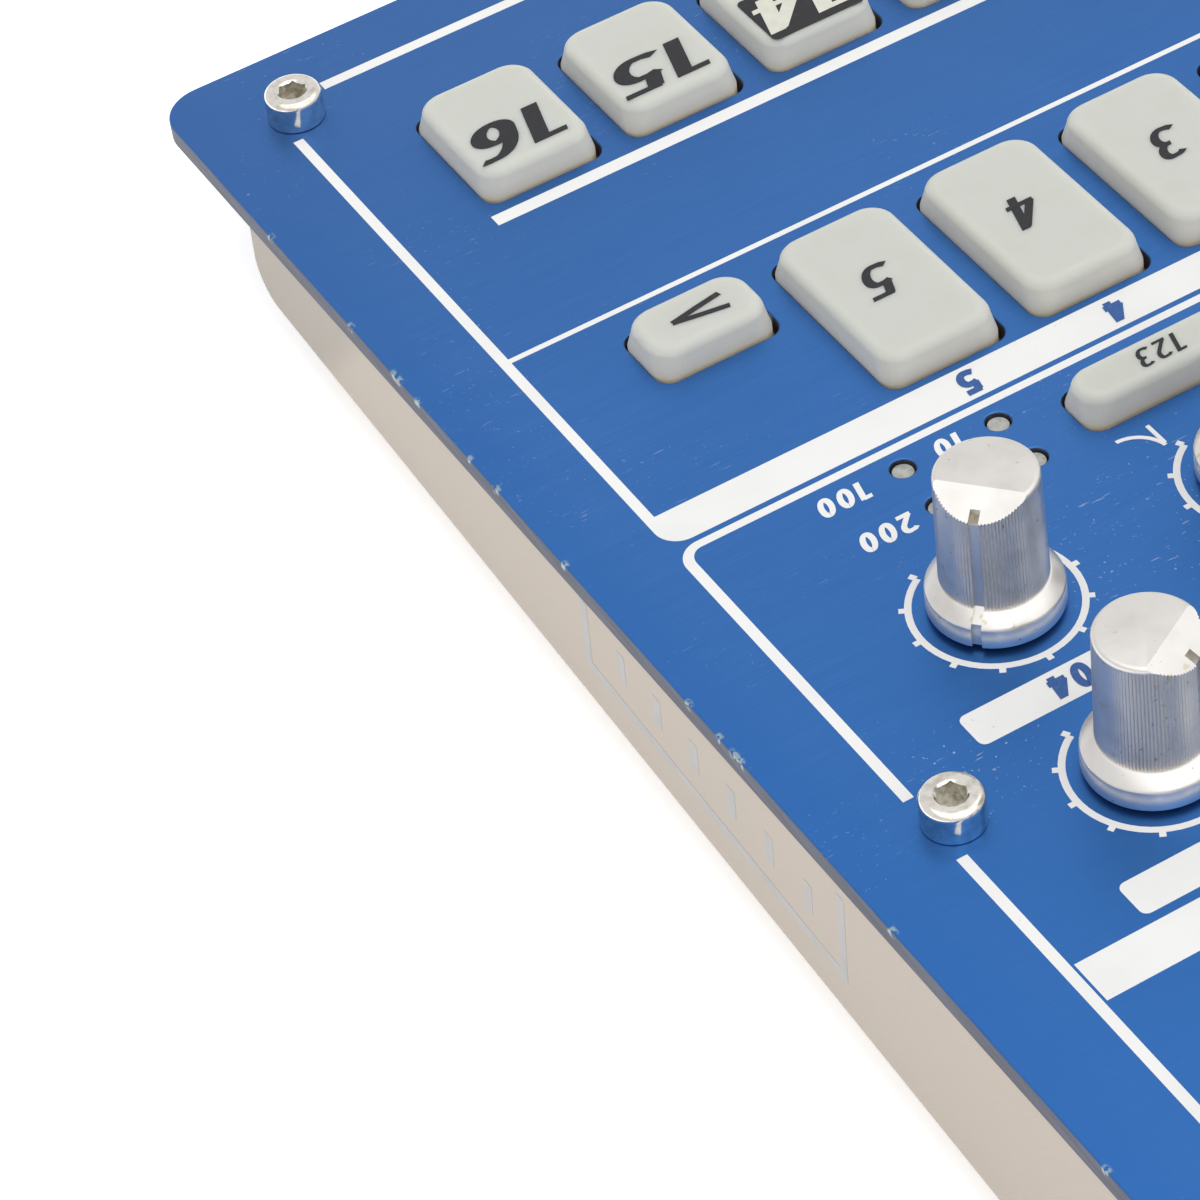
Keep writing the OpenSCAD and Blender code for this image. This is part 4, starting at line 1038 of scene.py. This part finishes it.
def knob_shape():
    """A knob about its own axis: knurled grip, sloped facet and skirt, before its grooves."""
    bm = bmesh.new()
    foot, top = GRIP_FOOT, KNOB_H
    outline = [
        (3.05, 0), (7.25, 0), (7.42, 0.08), (7.5, 0.3), (7.5, 2.45),
        *bow(6.95, 2.45, 0.55, 0.55, 8, 48, 4), (6.15, foot - 0.07),
        (6.0, foot), (5.9, foot + 0.02), (5.9, foot + 0.3), (5.66, top - 0.8), (5.65, top - 0.62),
        *bow(5.1, top - 0.5, 0.54, 0.5, 0, 90, 6), (0, top),
    ]
    turned(bm, outline, 4 * TEETH)
    toothed(bm, foot, top - 0.79, TEETH, TOOTH)
    cut = bmesh.ops.bisect_plane(
        bm, geom=bm.verts[:] + bm.edges[:] + bm.faces[:], dist=1e-5, clear_outer=True,
        plane_co=(0, FACET_START, top), plane_no=(0, math.sin(FACET_SLOPE), math.cos(FACET_SLOPE)),
    )
    rim = [part for part in cut["geom_cut"] if isinstance(part, bmesh.types.BMEdge)]
    bmesh.ops.holes_fill(bm, edges=rim, sides=0)
    bmesh.ops.holes_fill(bm, edges=[edge for edge in bm.edges if edge.is_boundary], sides=0)
    return bm


def cut_away(bm, cutters):
    """Takes blocks away from a shape and gives the result back."""

    def as_object(shape):
        mesh = bpy.data.meshes.new("shape")
        face_outwards(shape)
        shape.to_mesh(mesh)
        shape.free()
        return new_object("shape", mesh)

    body = as_object(bm)
    tools = [as_object(c) for c in cutters]
    for tool in tools:
        made = body.modifiers.new("cut", "BOOLEAN")
        made.operation, made.solver, made.object = "DIFFERENCE", "EXACT", tool
    mesh = bpy.data.meshes.new_from_object(body.evaluated_get(bpy.context.evaluated_depsgraph_get()))
    result = bmesh.new()
    result.from_mesh(mesh)
    bpy.data.meshes.remove(mesh)
    for thing in [body, *tools]:
        old = thing.data
        bpy.data.objects.remove(thing)
        bpy.data.meshes.remove(old)
    return result


def pointer_cutters():
    """The long groove down a knob's grip and skirt, and the square pocket in its facet."""
    groove, pocket = bmesh.new(), bmesh.new()
    side, floor, clear = GROOVE_W / 2, KNOB_H - POCKET_DROP, 30
    in_grip = [(5.18, 20), (5.18, KNOB_H), (5.4, 4.5), (5.4, 4.15)]
    in_skirt = [(6.9, 2.9), (6.9, -1), (12, -1), (12, 20)]
    prism(groove, in_grip + in_skirt, -side, side)
    prism(pocket, [(POCKET_START, clear), (POCKET_START, floor), (9, floor), (9, clear)], -side, side)
    return [groove, pocket]


def add_shaft(bm, foot):
    """Lifts a knob off the plate and adds the shaft under it."""
    bmesh.ops.translate(bm, verts=bm.verts, vec=(0, 0, KNOB_GAP))
    slab(bm, circle(0, 0, SHAFT_R), foot, KNOB_GAP + SHAFT_REACH)


def make_knobs():
    shape = cut_away(knob_shape(), pointer_cutters())
    shape.normal_update()
    grip_faces(shape, GRIP_INNER, GRIP_FOOT, KNOB_H - 0.6)
    pocket_wall(shape)
    add_shaft(shape, BOARD_H + 1)
    master = bpy.data.meshes.new("knob_master")
    shape.to_mesh(master)
    shape.free()
    for body, x, v, angle in KNOBS:
        bm = bmesh.new()
        bm.from_mesh(master)
        turn = Matrix.Translation((x, v, 0)) @ Matrix.Rotation(-math.radians(angle), 4, "Z")
        bmesh.ops.transform(bm, matrix=turn, verts=bm.verts)
        finishes = ["silver", "grip", "socket"]
        piece = finished(body + "_cap", bm, finishes, body, smooth=SMOOTH_METAL)
        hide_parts(body)
    bpy.data.meshes.remove(master)


DIAL_GRIP_FOOT, DIAL_GRIP_DROP, DIAL_FLUTES, DIAL_FLUTE = 4.1, 1.3, 72, 0.32
DIMPLE_R, DIMPLE_OUT = 3.75, 0.45


def make_dial():
    """The wide data dial: skirt, fluted grip and a finger dimple in its top."""
    bm, dimple = bmesh.new(), bmesh.new()
    top, grip_top = DIAL_H, DIAL_H - DIAL_GRIP_DROP
    outline = [
        (0, 0), (14.7, 0), (15, 0.3), (15, 2.3), *bow(14.5, 2.3, 0.5, 0.5, 8, 48, 4), (13.95, 3.95),
        (13.7, 4.05), (13.7, 4.4), (13.5, top - 1.4), *bow(12.5, top - 1.0, 1.0, 1.0, 0, 90, 8),
        (11.2, top), (10.9, top - 0.15), (10.6, top - 0.15), (10.3, top - 0.3), (0, top - 0.3),
    ]
    turned(bm, outline, 6 * DIAL_FLUTES)
    toothed(bm, DIAL_GRIP_FOOT, grip_top, DIAL_FLUTES, DIAL_FLUTE)
    turned(dimple, bow(0, top + DIMPLE_R / 2, DIMPLE_R, DIMPLE_R, -90, 90, 20), 48)
    bmesh.ops.translate(dimple, verts=dimple.verts, vec=(0, DIAL_R * DIMPLE_OUT, 0))
    shape = cut_away(bm, [dimple])
    shape.normal_update()
    grip_faces(shape, 12, DIAL_GRIP_FOOT, grip_top)
    add_shaft(shape, BOARD_H + 0.01)
    place = ON_PANEL @ Matrix.Translation((*DIAL, 0))
    finishes = ["silver", "grip"]
    piece = finished("data_dial_cap", shape, finishes, "data_dial", place, SMOOTH_METAL)
    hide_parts("data_dial")


# The fader's cap: half its length and width, its height, and the radius of its hollow top
CAP_LONG, CAP_WIDE, CAP_H, CAP_SAG = 5.5, 6.0, 8.0, 14.0
CAP_EDGE, CAP_TOP_STEPS, CAP_TOP_REACH = 5.42, 88, 5.2
RIDGE, RIDGE_PITCH, RIDGE_START = 0.14, 1.3, 0.9
# The outlines from one side of the cap to the other: which side, how far in from it, and scale
CAP_ENDS = [(-1, 0, 0.94), (-1, 0.08, 0.975), (-1, 0.35, 1), (1, 0.35, 1), (1, 0.08, 0.975), (1, 0, 0.94)]
CAP_MIDDLE = 4.5


def make_fader_cap():
    """Hollow-topped cap with finger ridges and a white line, on its lever."""
    bm = bmesh.new()
    floor = KNOB_GAP + CAP_H - 1.4
    top = []
    for i in range(CAP_TOP_STEPS + 1):
        s = CAP_TOP_REACH - i * 2 * CAP_TOP_REACH / CAP_TOP_STEPS
        ridge = RIDGE * math.cos(s * math.tau / RIDGE_PITCH) if abs(s) > RIDGE_START else RIDGE
        top.append((s, floor + CAP_SAG - math.sqrt(CAP_SAG**2 - s**2) + ridge - RIDGE))
    rim = top[0][1]
    outline = [(CAP_LONG, KNOB_GAP), (CAP_LONG, rim - 0.5), (CAP_EDGE, rim - 0.15), *top]
    outline += [(-CAP_EDGE, rim - 0.15), (-CAP_LONG, rim - 0.5), (-CAP_LONG, KNOB_GAP)]
    rings = []
    for side, inset, shrink in CAP_ENDS:
        ring = [(y * shrink, CAP_MIDDLE + (z - CAP_MIDDLE) * shrink) for y, z in outline]
        rings.append((ring, side * (CAP_WIDE - inset)))
    skin(bm, rings)
    # The outline was drawn in y and z, and stacked along x
    upright = Matrix(((0, 0, 1, 0), (1, 0, 0, 0), (0, 1, 0, 0), (0, 0, 0, 1)))
    bmesh.ops.transform(bm, matrix=upright, verts=bm.verts)
    slab(bm, rounded(1.4, 4, 0.2), BOARD_H + 1.2, KNOB_GAP + 1.6)
    place = ON_PANEL @ Matrix.Translation((*FADER, 0))
    piece = finished("fader_cap_body", bm, ["silver"], "fader_cap", place, 25)
    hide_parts("fader_cap")
    line = bmesh.new()
    slab(line, rounded(11.0, 0.8, 0.1), floor - 0.05, floor + 0.03)
    finished("fader_line", line, ["white"], "fader_cap", place)


# ---- Screws ----

HEAD_R, HEAD_H, HEAD_EDGE, SHANK_R, SHANK_END = 3.5, 4.0, 0.8, 2, -8.5
SOCKET_R, SOCKET_FLOOR, MOUTH_FOOT = 1.82, 1.9, 3.75


def make_screws():
    """Socket-head screws: round-shouldered head with a chamfered hexagon."""
    shoulder = HEAD_H - HEAD_EDGE
    outline = [
        (0, SHANK_END), (SHANK_R, SHANK_END), (SHANK_R, 0), (HEAD_R - 0.15, 0), (HEAD_R, 0.12),
        (HEAD_R, shoulder), *bow(HEAD_R - HEAD_EDGE, shoulder, HEAD_EDGE, HEAD_EDGE, 10, 90, 8),
        (0, HEAD_H),
    ]
    bm = bmesh.new()
    for side in (-1, 1):
        for v in SCREW_V:
            head, key, mouth = bmesh.new(), bmesh.new(), bmesh.new()
            turned(head, outline, 64)
            slab(key, circle(0, 0, SOCKET_R, 6), SOCKET_FLOOR, 6)
            turned(mouth, [(0, MOUTH_FOOT), (1.62, MOUTH_FOOT), (2.1, 4.2), (0, 4.2)], 48)
            screw = cut_away(head, [key, mouth])
            for face in screw.faces:
                centre = face.calc_center_median()
                out = centre.xy.length
                # The socket's walls take the second finish, grime and painted shade; the floor and the
                # head's side take the duller plating.
                if out < SOCKET_R and 2 < centre.z < MOUTH_FOOT - 0.03:
                    face.material_index = 1
                elif 1 < centre.z < 2 or out > HEAD_R - 0.2 and centre.z < shoulder:
                    face.material_index = 2
            add(bm, screw, Matrix.Translation((side * SCREW_X, v, 0)))
    finishes = ["nickel", "socket", "dull_nickel"]
    piece = finished("plate_screws", bm, finishes, smooth=SMOOTH_METAL)
    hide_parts("panel_screws")


# ---- Display, strip, valves ----

SCREEN_DROP, SCREEN_MARGIN, SCREEN_T, MARK_T = 1.9, 6.2, 0.2, 0.03
SCREEN_PEN = {"wide": 0.72, "heavy": 0.13, "slant": 0.0, "gap": 0.24, "thin": 0.1}
STEP_MARKS, STEP_MARK_PITCH, BARS, BAR_PITCH = 16, 3.15, 8, 3.1


def make_display_face():
    """The lit screen under the window, with a plain tempo and a row of steps."""
    x, v, w, d = DISPLAY
    floor = -PANEL_T - SCREEN_DROP
    glass = bmesh.new()
    outline = rounded(w - SCREEN_MARGIN, d - SCREEN_MARGIN, 0.4, x, v)
    slab(glass, outline, floor - 0.1, floor + SCREEN_T)
    finished("screen", glass, ["screen"])
    marks = bmesh.new()
    top = floor + SCREEN_T - 0.01
    number(marks, "120", x - w / 2 + 15, v + 2.2, 7.0, top, **SCREEN_PEN)
    for i in range(STEP_MARKS):
        half = 1.5 if i % 4 == 0 else 0.8
        here = x - w / 2 + 8.2 + i * STEP_MARK_PITCH
        slab(marks, rounded(2.0, 2 * half, 0.15, here, v - 5.6), top, top + MARK_T)
    for i in range(BARS):
        here, rise = x + 4 + i * BAR_PITCH, 0.35 * i
        slab(marks, rounded(2.4, 1.0 + 2 * rise, 0.1, here, v - 1.4 + rise), top, top + MARK_T)
    finished("screen_marks", marks, ["black"])


STRIP_TOP, STRIP_TICKS, STRIP_PITCH = 0.81, 9, 8


def make_strip_marks():
    x, v, _, _ = STRIP
    ink = Ink(STRIP_TOP)
    for i in range(STRIP_TICKS):
        reach = 1.1 if i % 4 else 2.4
        here = v + (i - (STRIP_TICKS - 1) / 2) * STRIP_PITCH
        ink.bar(x - reach, x + reach, here - 0.2, here + 0.2)
    ink.finished("strip_marks", slot="strip_black")


FLASH_R, FLASH_FOOT, FLASH_H, FLASH_T = 8.2, 40.5, 4.45, 0.1
VALVE_FOOT_X, VALVE_AXIS_H = 58, -13.6


def make_getter_flash():
    """Silvery flash inside the dome of each valve."""
    outer = bow(0, FLASH_FOOT, FLASH_R, FLASH_H, 10, 90, 8)
    inner = bow(0, FLASH_FOOT - FLASH_T / 2, FLASH_R - FLASH_T, FLASH_H - FLASH_T, 90, 10, 8)
    crown = FLASH_FOOT + FLASH_H
    outline = [*outer[:-1], (0, crown), (0, crown - 1.5 * FLASH_T), *inner[1:], outer[0]]
    bm = bmesh.new()
    for side in (-1, 1):
        dome = bmesh.new()
        turned(dome, outline, 48)
        lie = Matrix.Rotation(-side * math.pi / 2, 4, "Y")
        add(bm, dome, Matrix.Translation((side * VALVE_FOOT_X, VALVE_WINDOW[1], VALVE_AXIS_H)) @ lie)
    finished("getter_flash", bm, ["flash"])


# ---- Rear fittings ----

FACING_BACK = Matrix.Rotation(math.pi, 4, "Z") @ Matrix.Rotation(math.pi / 2, 4, "X")


def on_rear(x, z):
    """Frame on the rear panel: x to the onlooker's right, y up, z out of the panel."""
    return Matrix.Translation((x, REAR_Y, z)) @ FACING_BACK


def hexagon(radius, limit):
    """Points round a hexagon whose corners are turned down to a limit."""
    flat, points = radius * math.cos(math.pi / 6), []
    for i in range(ROUND_STEPS):
        angle = math.tau * i / ROUND_STEPS
        reach = min(flat / math.cos((angle % (math.pi / 3)) - math.pi / 6), limit)
        points.append((reach * math.cos(angle), reach * math.sin(angle)))
    return points


NUT_R, NUT_BORE, NUT_T = 6.42, 4.7, 1.84
THREAD_TOP, THREAD_ROOT, THREAD_START, THREAD_PITCH, THREAD_TURNS = 4.85, 4.77, 1.7, 0.24, 4
NOSE_BORE, NOSE_END = 3.15, 2.7


def make_jack_nuts():
    """Nut and threaded nose of every jack socket."""
    bm = bmesh.new()
    bore, full = circle(0, 0, NUT_BORE), hexagon(NUT_R, NUT_R)
    thread = []
    for i in range(THREAD_TURNS):
        crest = THREAD_START + THREAD_PITCH * i
        thread += [(THREAD_TOP, crest), (THREAD_ROOT, crest + THREAD_PITCH / 2)]
    for x in JACKS:
        jack = bmesh.new()
        hoop(jack, [
            (bore, 0), (hexagon(NUT_R, 6.2), 0.001), (full, 0.2), (full, 1.55),
            (hexagon(NUT_R, 6.1), 1.72), (hexagon(6.3, 5.8), NUT_T), (bore, NUT_T),
        ])
        turned(jack, [
            (NOSE_BORE, -3), (4.7, -3), (4.72, 1.6), *thread, (4.6, NOSE_END), (3.45, NOSE_END),
            (3.25, NOSE_END - 0.1), (NOSE_BORE, NOSE_END - 0.3), (NOSE_BORE, -3),
        ], 48)
        add(bm, jack, on_rear(x, JACK_Z))
    finished("jack_nuts", bm, ["nickel"], place=METRES, smooth=SMOOTH_METAL)


DIN_PINS, PIN_CIRCLE, PIN_STEP = 5, 3.9, 45


def make_round_sockets():
    """Shield ring and pin sleeves of the round sockets, ring and pin of the inlet."""
    bm = bmesh.new()
    shield = [(6.1, -5), (6.7, -5), (6.7, 0.15), (6.6, 0.25), (6.2, 0.25), (6.1, 0.15), (6.1, -5)]
    sleeve = [(0.5, -4), (0.79, -4), (0.79, 0.0), (0.72, 0.06), (0.5, 0.06), (0.5, -4)]
    collar = [(3.25, -6), (3.95, -6), (3.95, 0.2), (3.85, 0.3), (3.35, 0.3), (3.25, 0.2), (3.25, -6)]
    pin = [(0, -9), (1.03, -9), (1.03, -0.9), (0.85, -0.4), (0.4, -0.15), (0, -0.1)]
    for x in DINS:
        shell = bmesh.new()
        turned(shell, shield, 48)
        for i in range(DIN_PINS):
            a = math.radians(PIN_STEP * i)
            turned(shell, sleeve, 16, (PIN_CIRCLE * math.cos(a), PIN_CIRCLE * math.sin(a)))
        add(bm, shell, on_rear(x, DIN_Z))
    inlet = bmesh.new()
    turned(inlet, collar, 40)
    turned(inlet, pin, 24)
    add(bm, inlet, on_rear(INLET_X, INLET_Z))
    finished("socket_contacts", bm, ["nickel"], place=METRES, smooth=SMOOTH_METAL)


REAR_PEN = {"wide": 0.8, "heavy": 0.15, "slant": 0.1, "thin": 0.1}
REAR_NUMBER_Z = 36.3


def make_rear_numbers():
    """Plain numbers over the sockets."""
    bm = bmesh.new()
    for i, x in enumerate(SOCKETS):
        text = bmesh.new()
        number(text, str(i + 1), 0, 0, 3.0, PRINT_FOOT, **REAR_PEN)
        add(bm, text, on_rear(x, REAR_NUMBER_Z))
    finished("rear_numbers", bm, ["dark"], place=METRES)


ROCKER_AXIS_IN, ROCKER_HALF, ROCKER_OUT, ROCKER_RISE, ROCKER_LEAN_RUN = 1.2, 3.9, 2.2, 0.8, 7.8
MARK_FOOT = -0.05


def make_rocker_marks():
    """A bar on one half of the rocker and a ring on the other."""
    marks = bmesh.new()
    tilt = Matrix.Rotation(ROCKER_TILT, 4, "X")
    for side in (-1, 1):
        mark = bmesh.new()
        if side > 0:
            slab(mark, rounded(0.7, 3.2, 0.1), MARK_FOOT, MARK_T)
        else:
            inner, outer = circle(0, 0, 1.0), circle(0, 0, 1.6)
            hoop(mark, [(inner, MARK_FOOT), (outer, MARK_FOOT), (outer, MARK_T), (inner, MARK_T)])
        lean = Matrix.Rotation(-side * math.atan2(ROCKER_RISE, ROCKER_LEAN_RUN), 4, "X")
        face = Matrix.Translation((0, ROCKER_OUT, side * ROCKER_HALF)) @ lean @ FACING_BACK
        axis = Matrix.Translation((SWITCH_X, REAR_Y - ROCKER_AXIS_IN, SWITCH_Z))
        add(marks, mark, axis @ tilt @ face)
    finished("rocker_marks", marks, ["white"], "power_switch", METRES)


# ---- Case sides ----

# The frame on each side wall: its front, rear, low and high lines, and the line's width
SIDE_FRAME = (-38.5, 14.5, 12.2, 23.0, 1.4)
SIDE_TICKS, SIDE_TICK_START, SIDE_TICK_PITCH = 6, -31, 7.5
FILM = 0.02


def make_pinstripes():
    """Faint three-sided frame on each side wall, with a row of plain ticks in it."""
    front, rear, low, high, width = SIDE_FRAME
    frame_line = [
        (front, high), (front, low), (rear, low), (rear, high + 3), (rear - width, high + 3),
        (rear - width, low + width), (front + width, low + width), (front + width, high),
    ]
    bm = bmesh.new()
    for side in (-1, 1):
        inner, outer = sorted((side * (CASE_HALF - FILM), side * (CASE_HALF + FILM)))
        prism(bm, frame_line, inner, outer)
        for i in range(SIDE_TICKS):
            y = SIDE_TICK_START + SIDE_TICK_PITCH * i
            prism(bm, [(y, 17), (y + 1.6, 17), (y + 1.6, 21.5), (y, 21.5)], inner, outer)
    finished("pinstripes", bm, ["pinstripe"], place=METRES)


# ---- Nodes that keep their shape ----

DRESSING = {
    "chassis": "coat",
    "rear_panel": "coat",
    "case_screws": "steel",
    "rubber_feet": "rubber",
    "key_mat": "mat",
    "panel_board": "board",
    "main_board": "board",
    "potentiometers": "pot_steel",
    "led_lenses": "lens",
    "clear_windows": "window",
    "display_module": "display",
    "valve_glass": "glass",
    "valve_cores": "valve_metal",
    "valve_sockets": "ceramic",
    "touch_strip": "strip",
    "phone_jacks": "black",
    "midi_sockets": "black",
    "power_fittings": "black",
    "power_switch": "black",
}

# ---- Stage ----


def softbox(name, place, aim, size, watts):
    data = bpy.data.lights.new(name, "AREA")
    data.shape, data.size, data.size_y, data.energy = "RECTANGLE", size[0], size[1], watts
    light = new_object(name, data)
    light.location = place
    light.rotation_mode = "QUATERNION"
    light.rotation_quaternion = (Vector(aim) - Vector(place)).to_track_quat("-Z", "Y")


# Towards the brightest part of the studio, above and a little behind the machine
BRIGHT = Vector((-0.16, 0.2, 0.965)).normalized()
# How near to it a direction has to be for the light to grow, and the dim and the full light
LIGHT_LEVELS = {"From Min": 0.59, "From Max": 0.75, "To Min": 0.815, "To Max": 1.46}


def make_world():
    """Pale all round and brightest overhead."""
    world = bpy.data.worlds.new("studio")
    world.use_nodes = True
    tree = world.node_tree
    view = tree.nodes.new("ShaderNodeTexCoord")
    facing = tree.nodes.new("ShaderNodeVectorMath")
    facing.operation = "DOT_PRODUCT"
    facing.inputs[1].default_value = BRIGHT
    level = tree.nodes.new("ShaderNodeMapRange")
    level.interpolation_type = "SMOOTHSTEP"
    for name, value in LIGHT_LEVELS.items():
        level.inputs[name].default_value = value
    tree.links.new(view.outputs["Generated"], facing.inputs[0])
    tree.links.new(facing.outputs["Value"], level.inputs["Value"])
    tree.links.new(level.outputs["Result"], tree.nodes["Background"].inputs["Strength"])
    tree.nodes["Background"].inputs["Color"].default_value = (1, 1, 1, 1)
    bpy.context.scene.world = world


def make_stage():
    bpy.context.scene.view_settings.view_transform = "Standard"
    make_world()
    bm = bmesh.new()
    bmesh.ops.create_grid(bm, x_segments=2, y_segments=2, size=6)
    mesh = bpy.data.meshes.new("floor")
    bm.to_mesh(mesh)
    bm.free()
    f = Finish("floor_paper", roughness=0.9, emission_color=(1, 1, 1, 1), emission_strength=0.4)
    drift = f.noise(400, detail=2)
    f.feed("Base Color", f.blend(drift, tone(248, 248, 248), tone(252, 252, 252)))
    mesh.materials.append(f.material)
    new_object("floor", mesh)
    softbox("overhead", (0.3, 0.9, 1.9), (0.1, 0, 0), (0.5, 0.5), 1.8)


make_camera()
make_stage()
make_plate()
make_print()
make_strip_numbers()
make_keys()
make_key_numbers()
make_accent_sign()
make_knobs()
make_dial()
make_fader_cap()
make_screws()
make_display_face()
make_strip_marks()
make_getter_flash()
make_jack_nuts()
make_round_sockets()
make_rear_numbers()
make_rocker_marks()
make_pinstripes()
for node, finish in DRESSING.items():
    dress(node, finish)
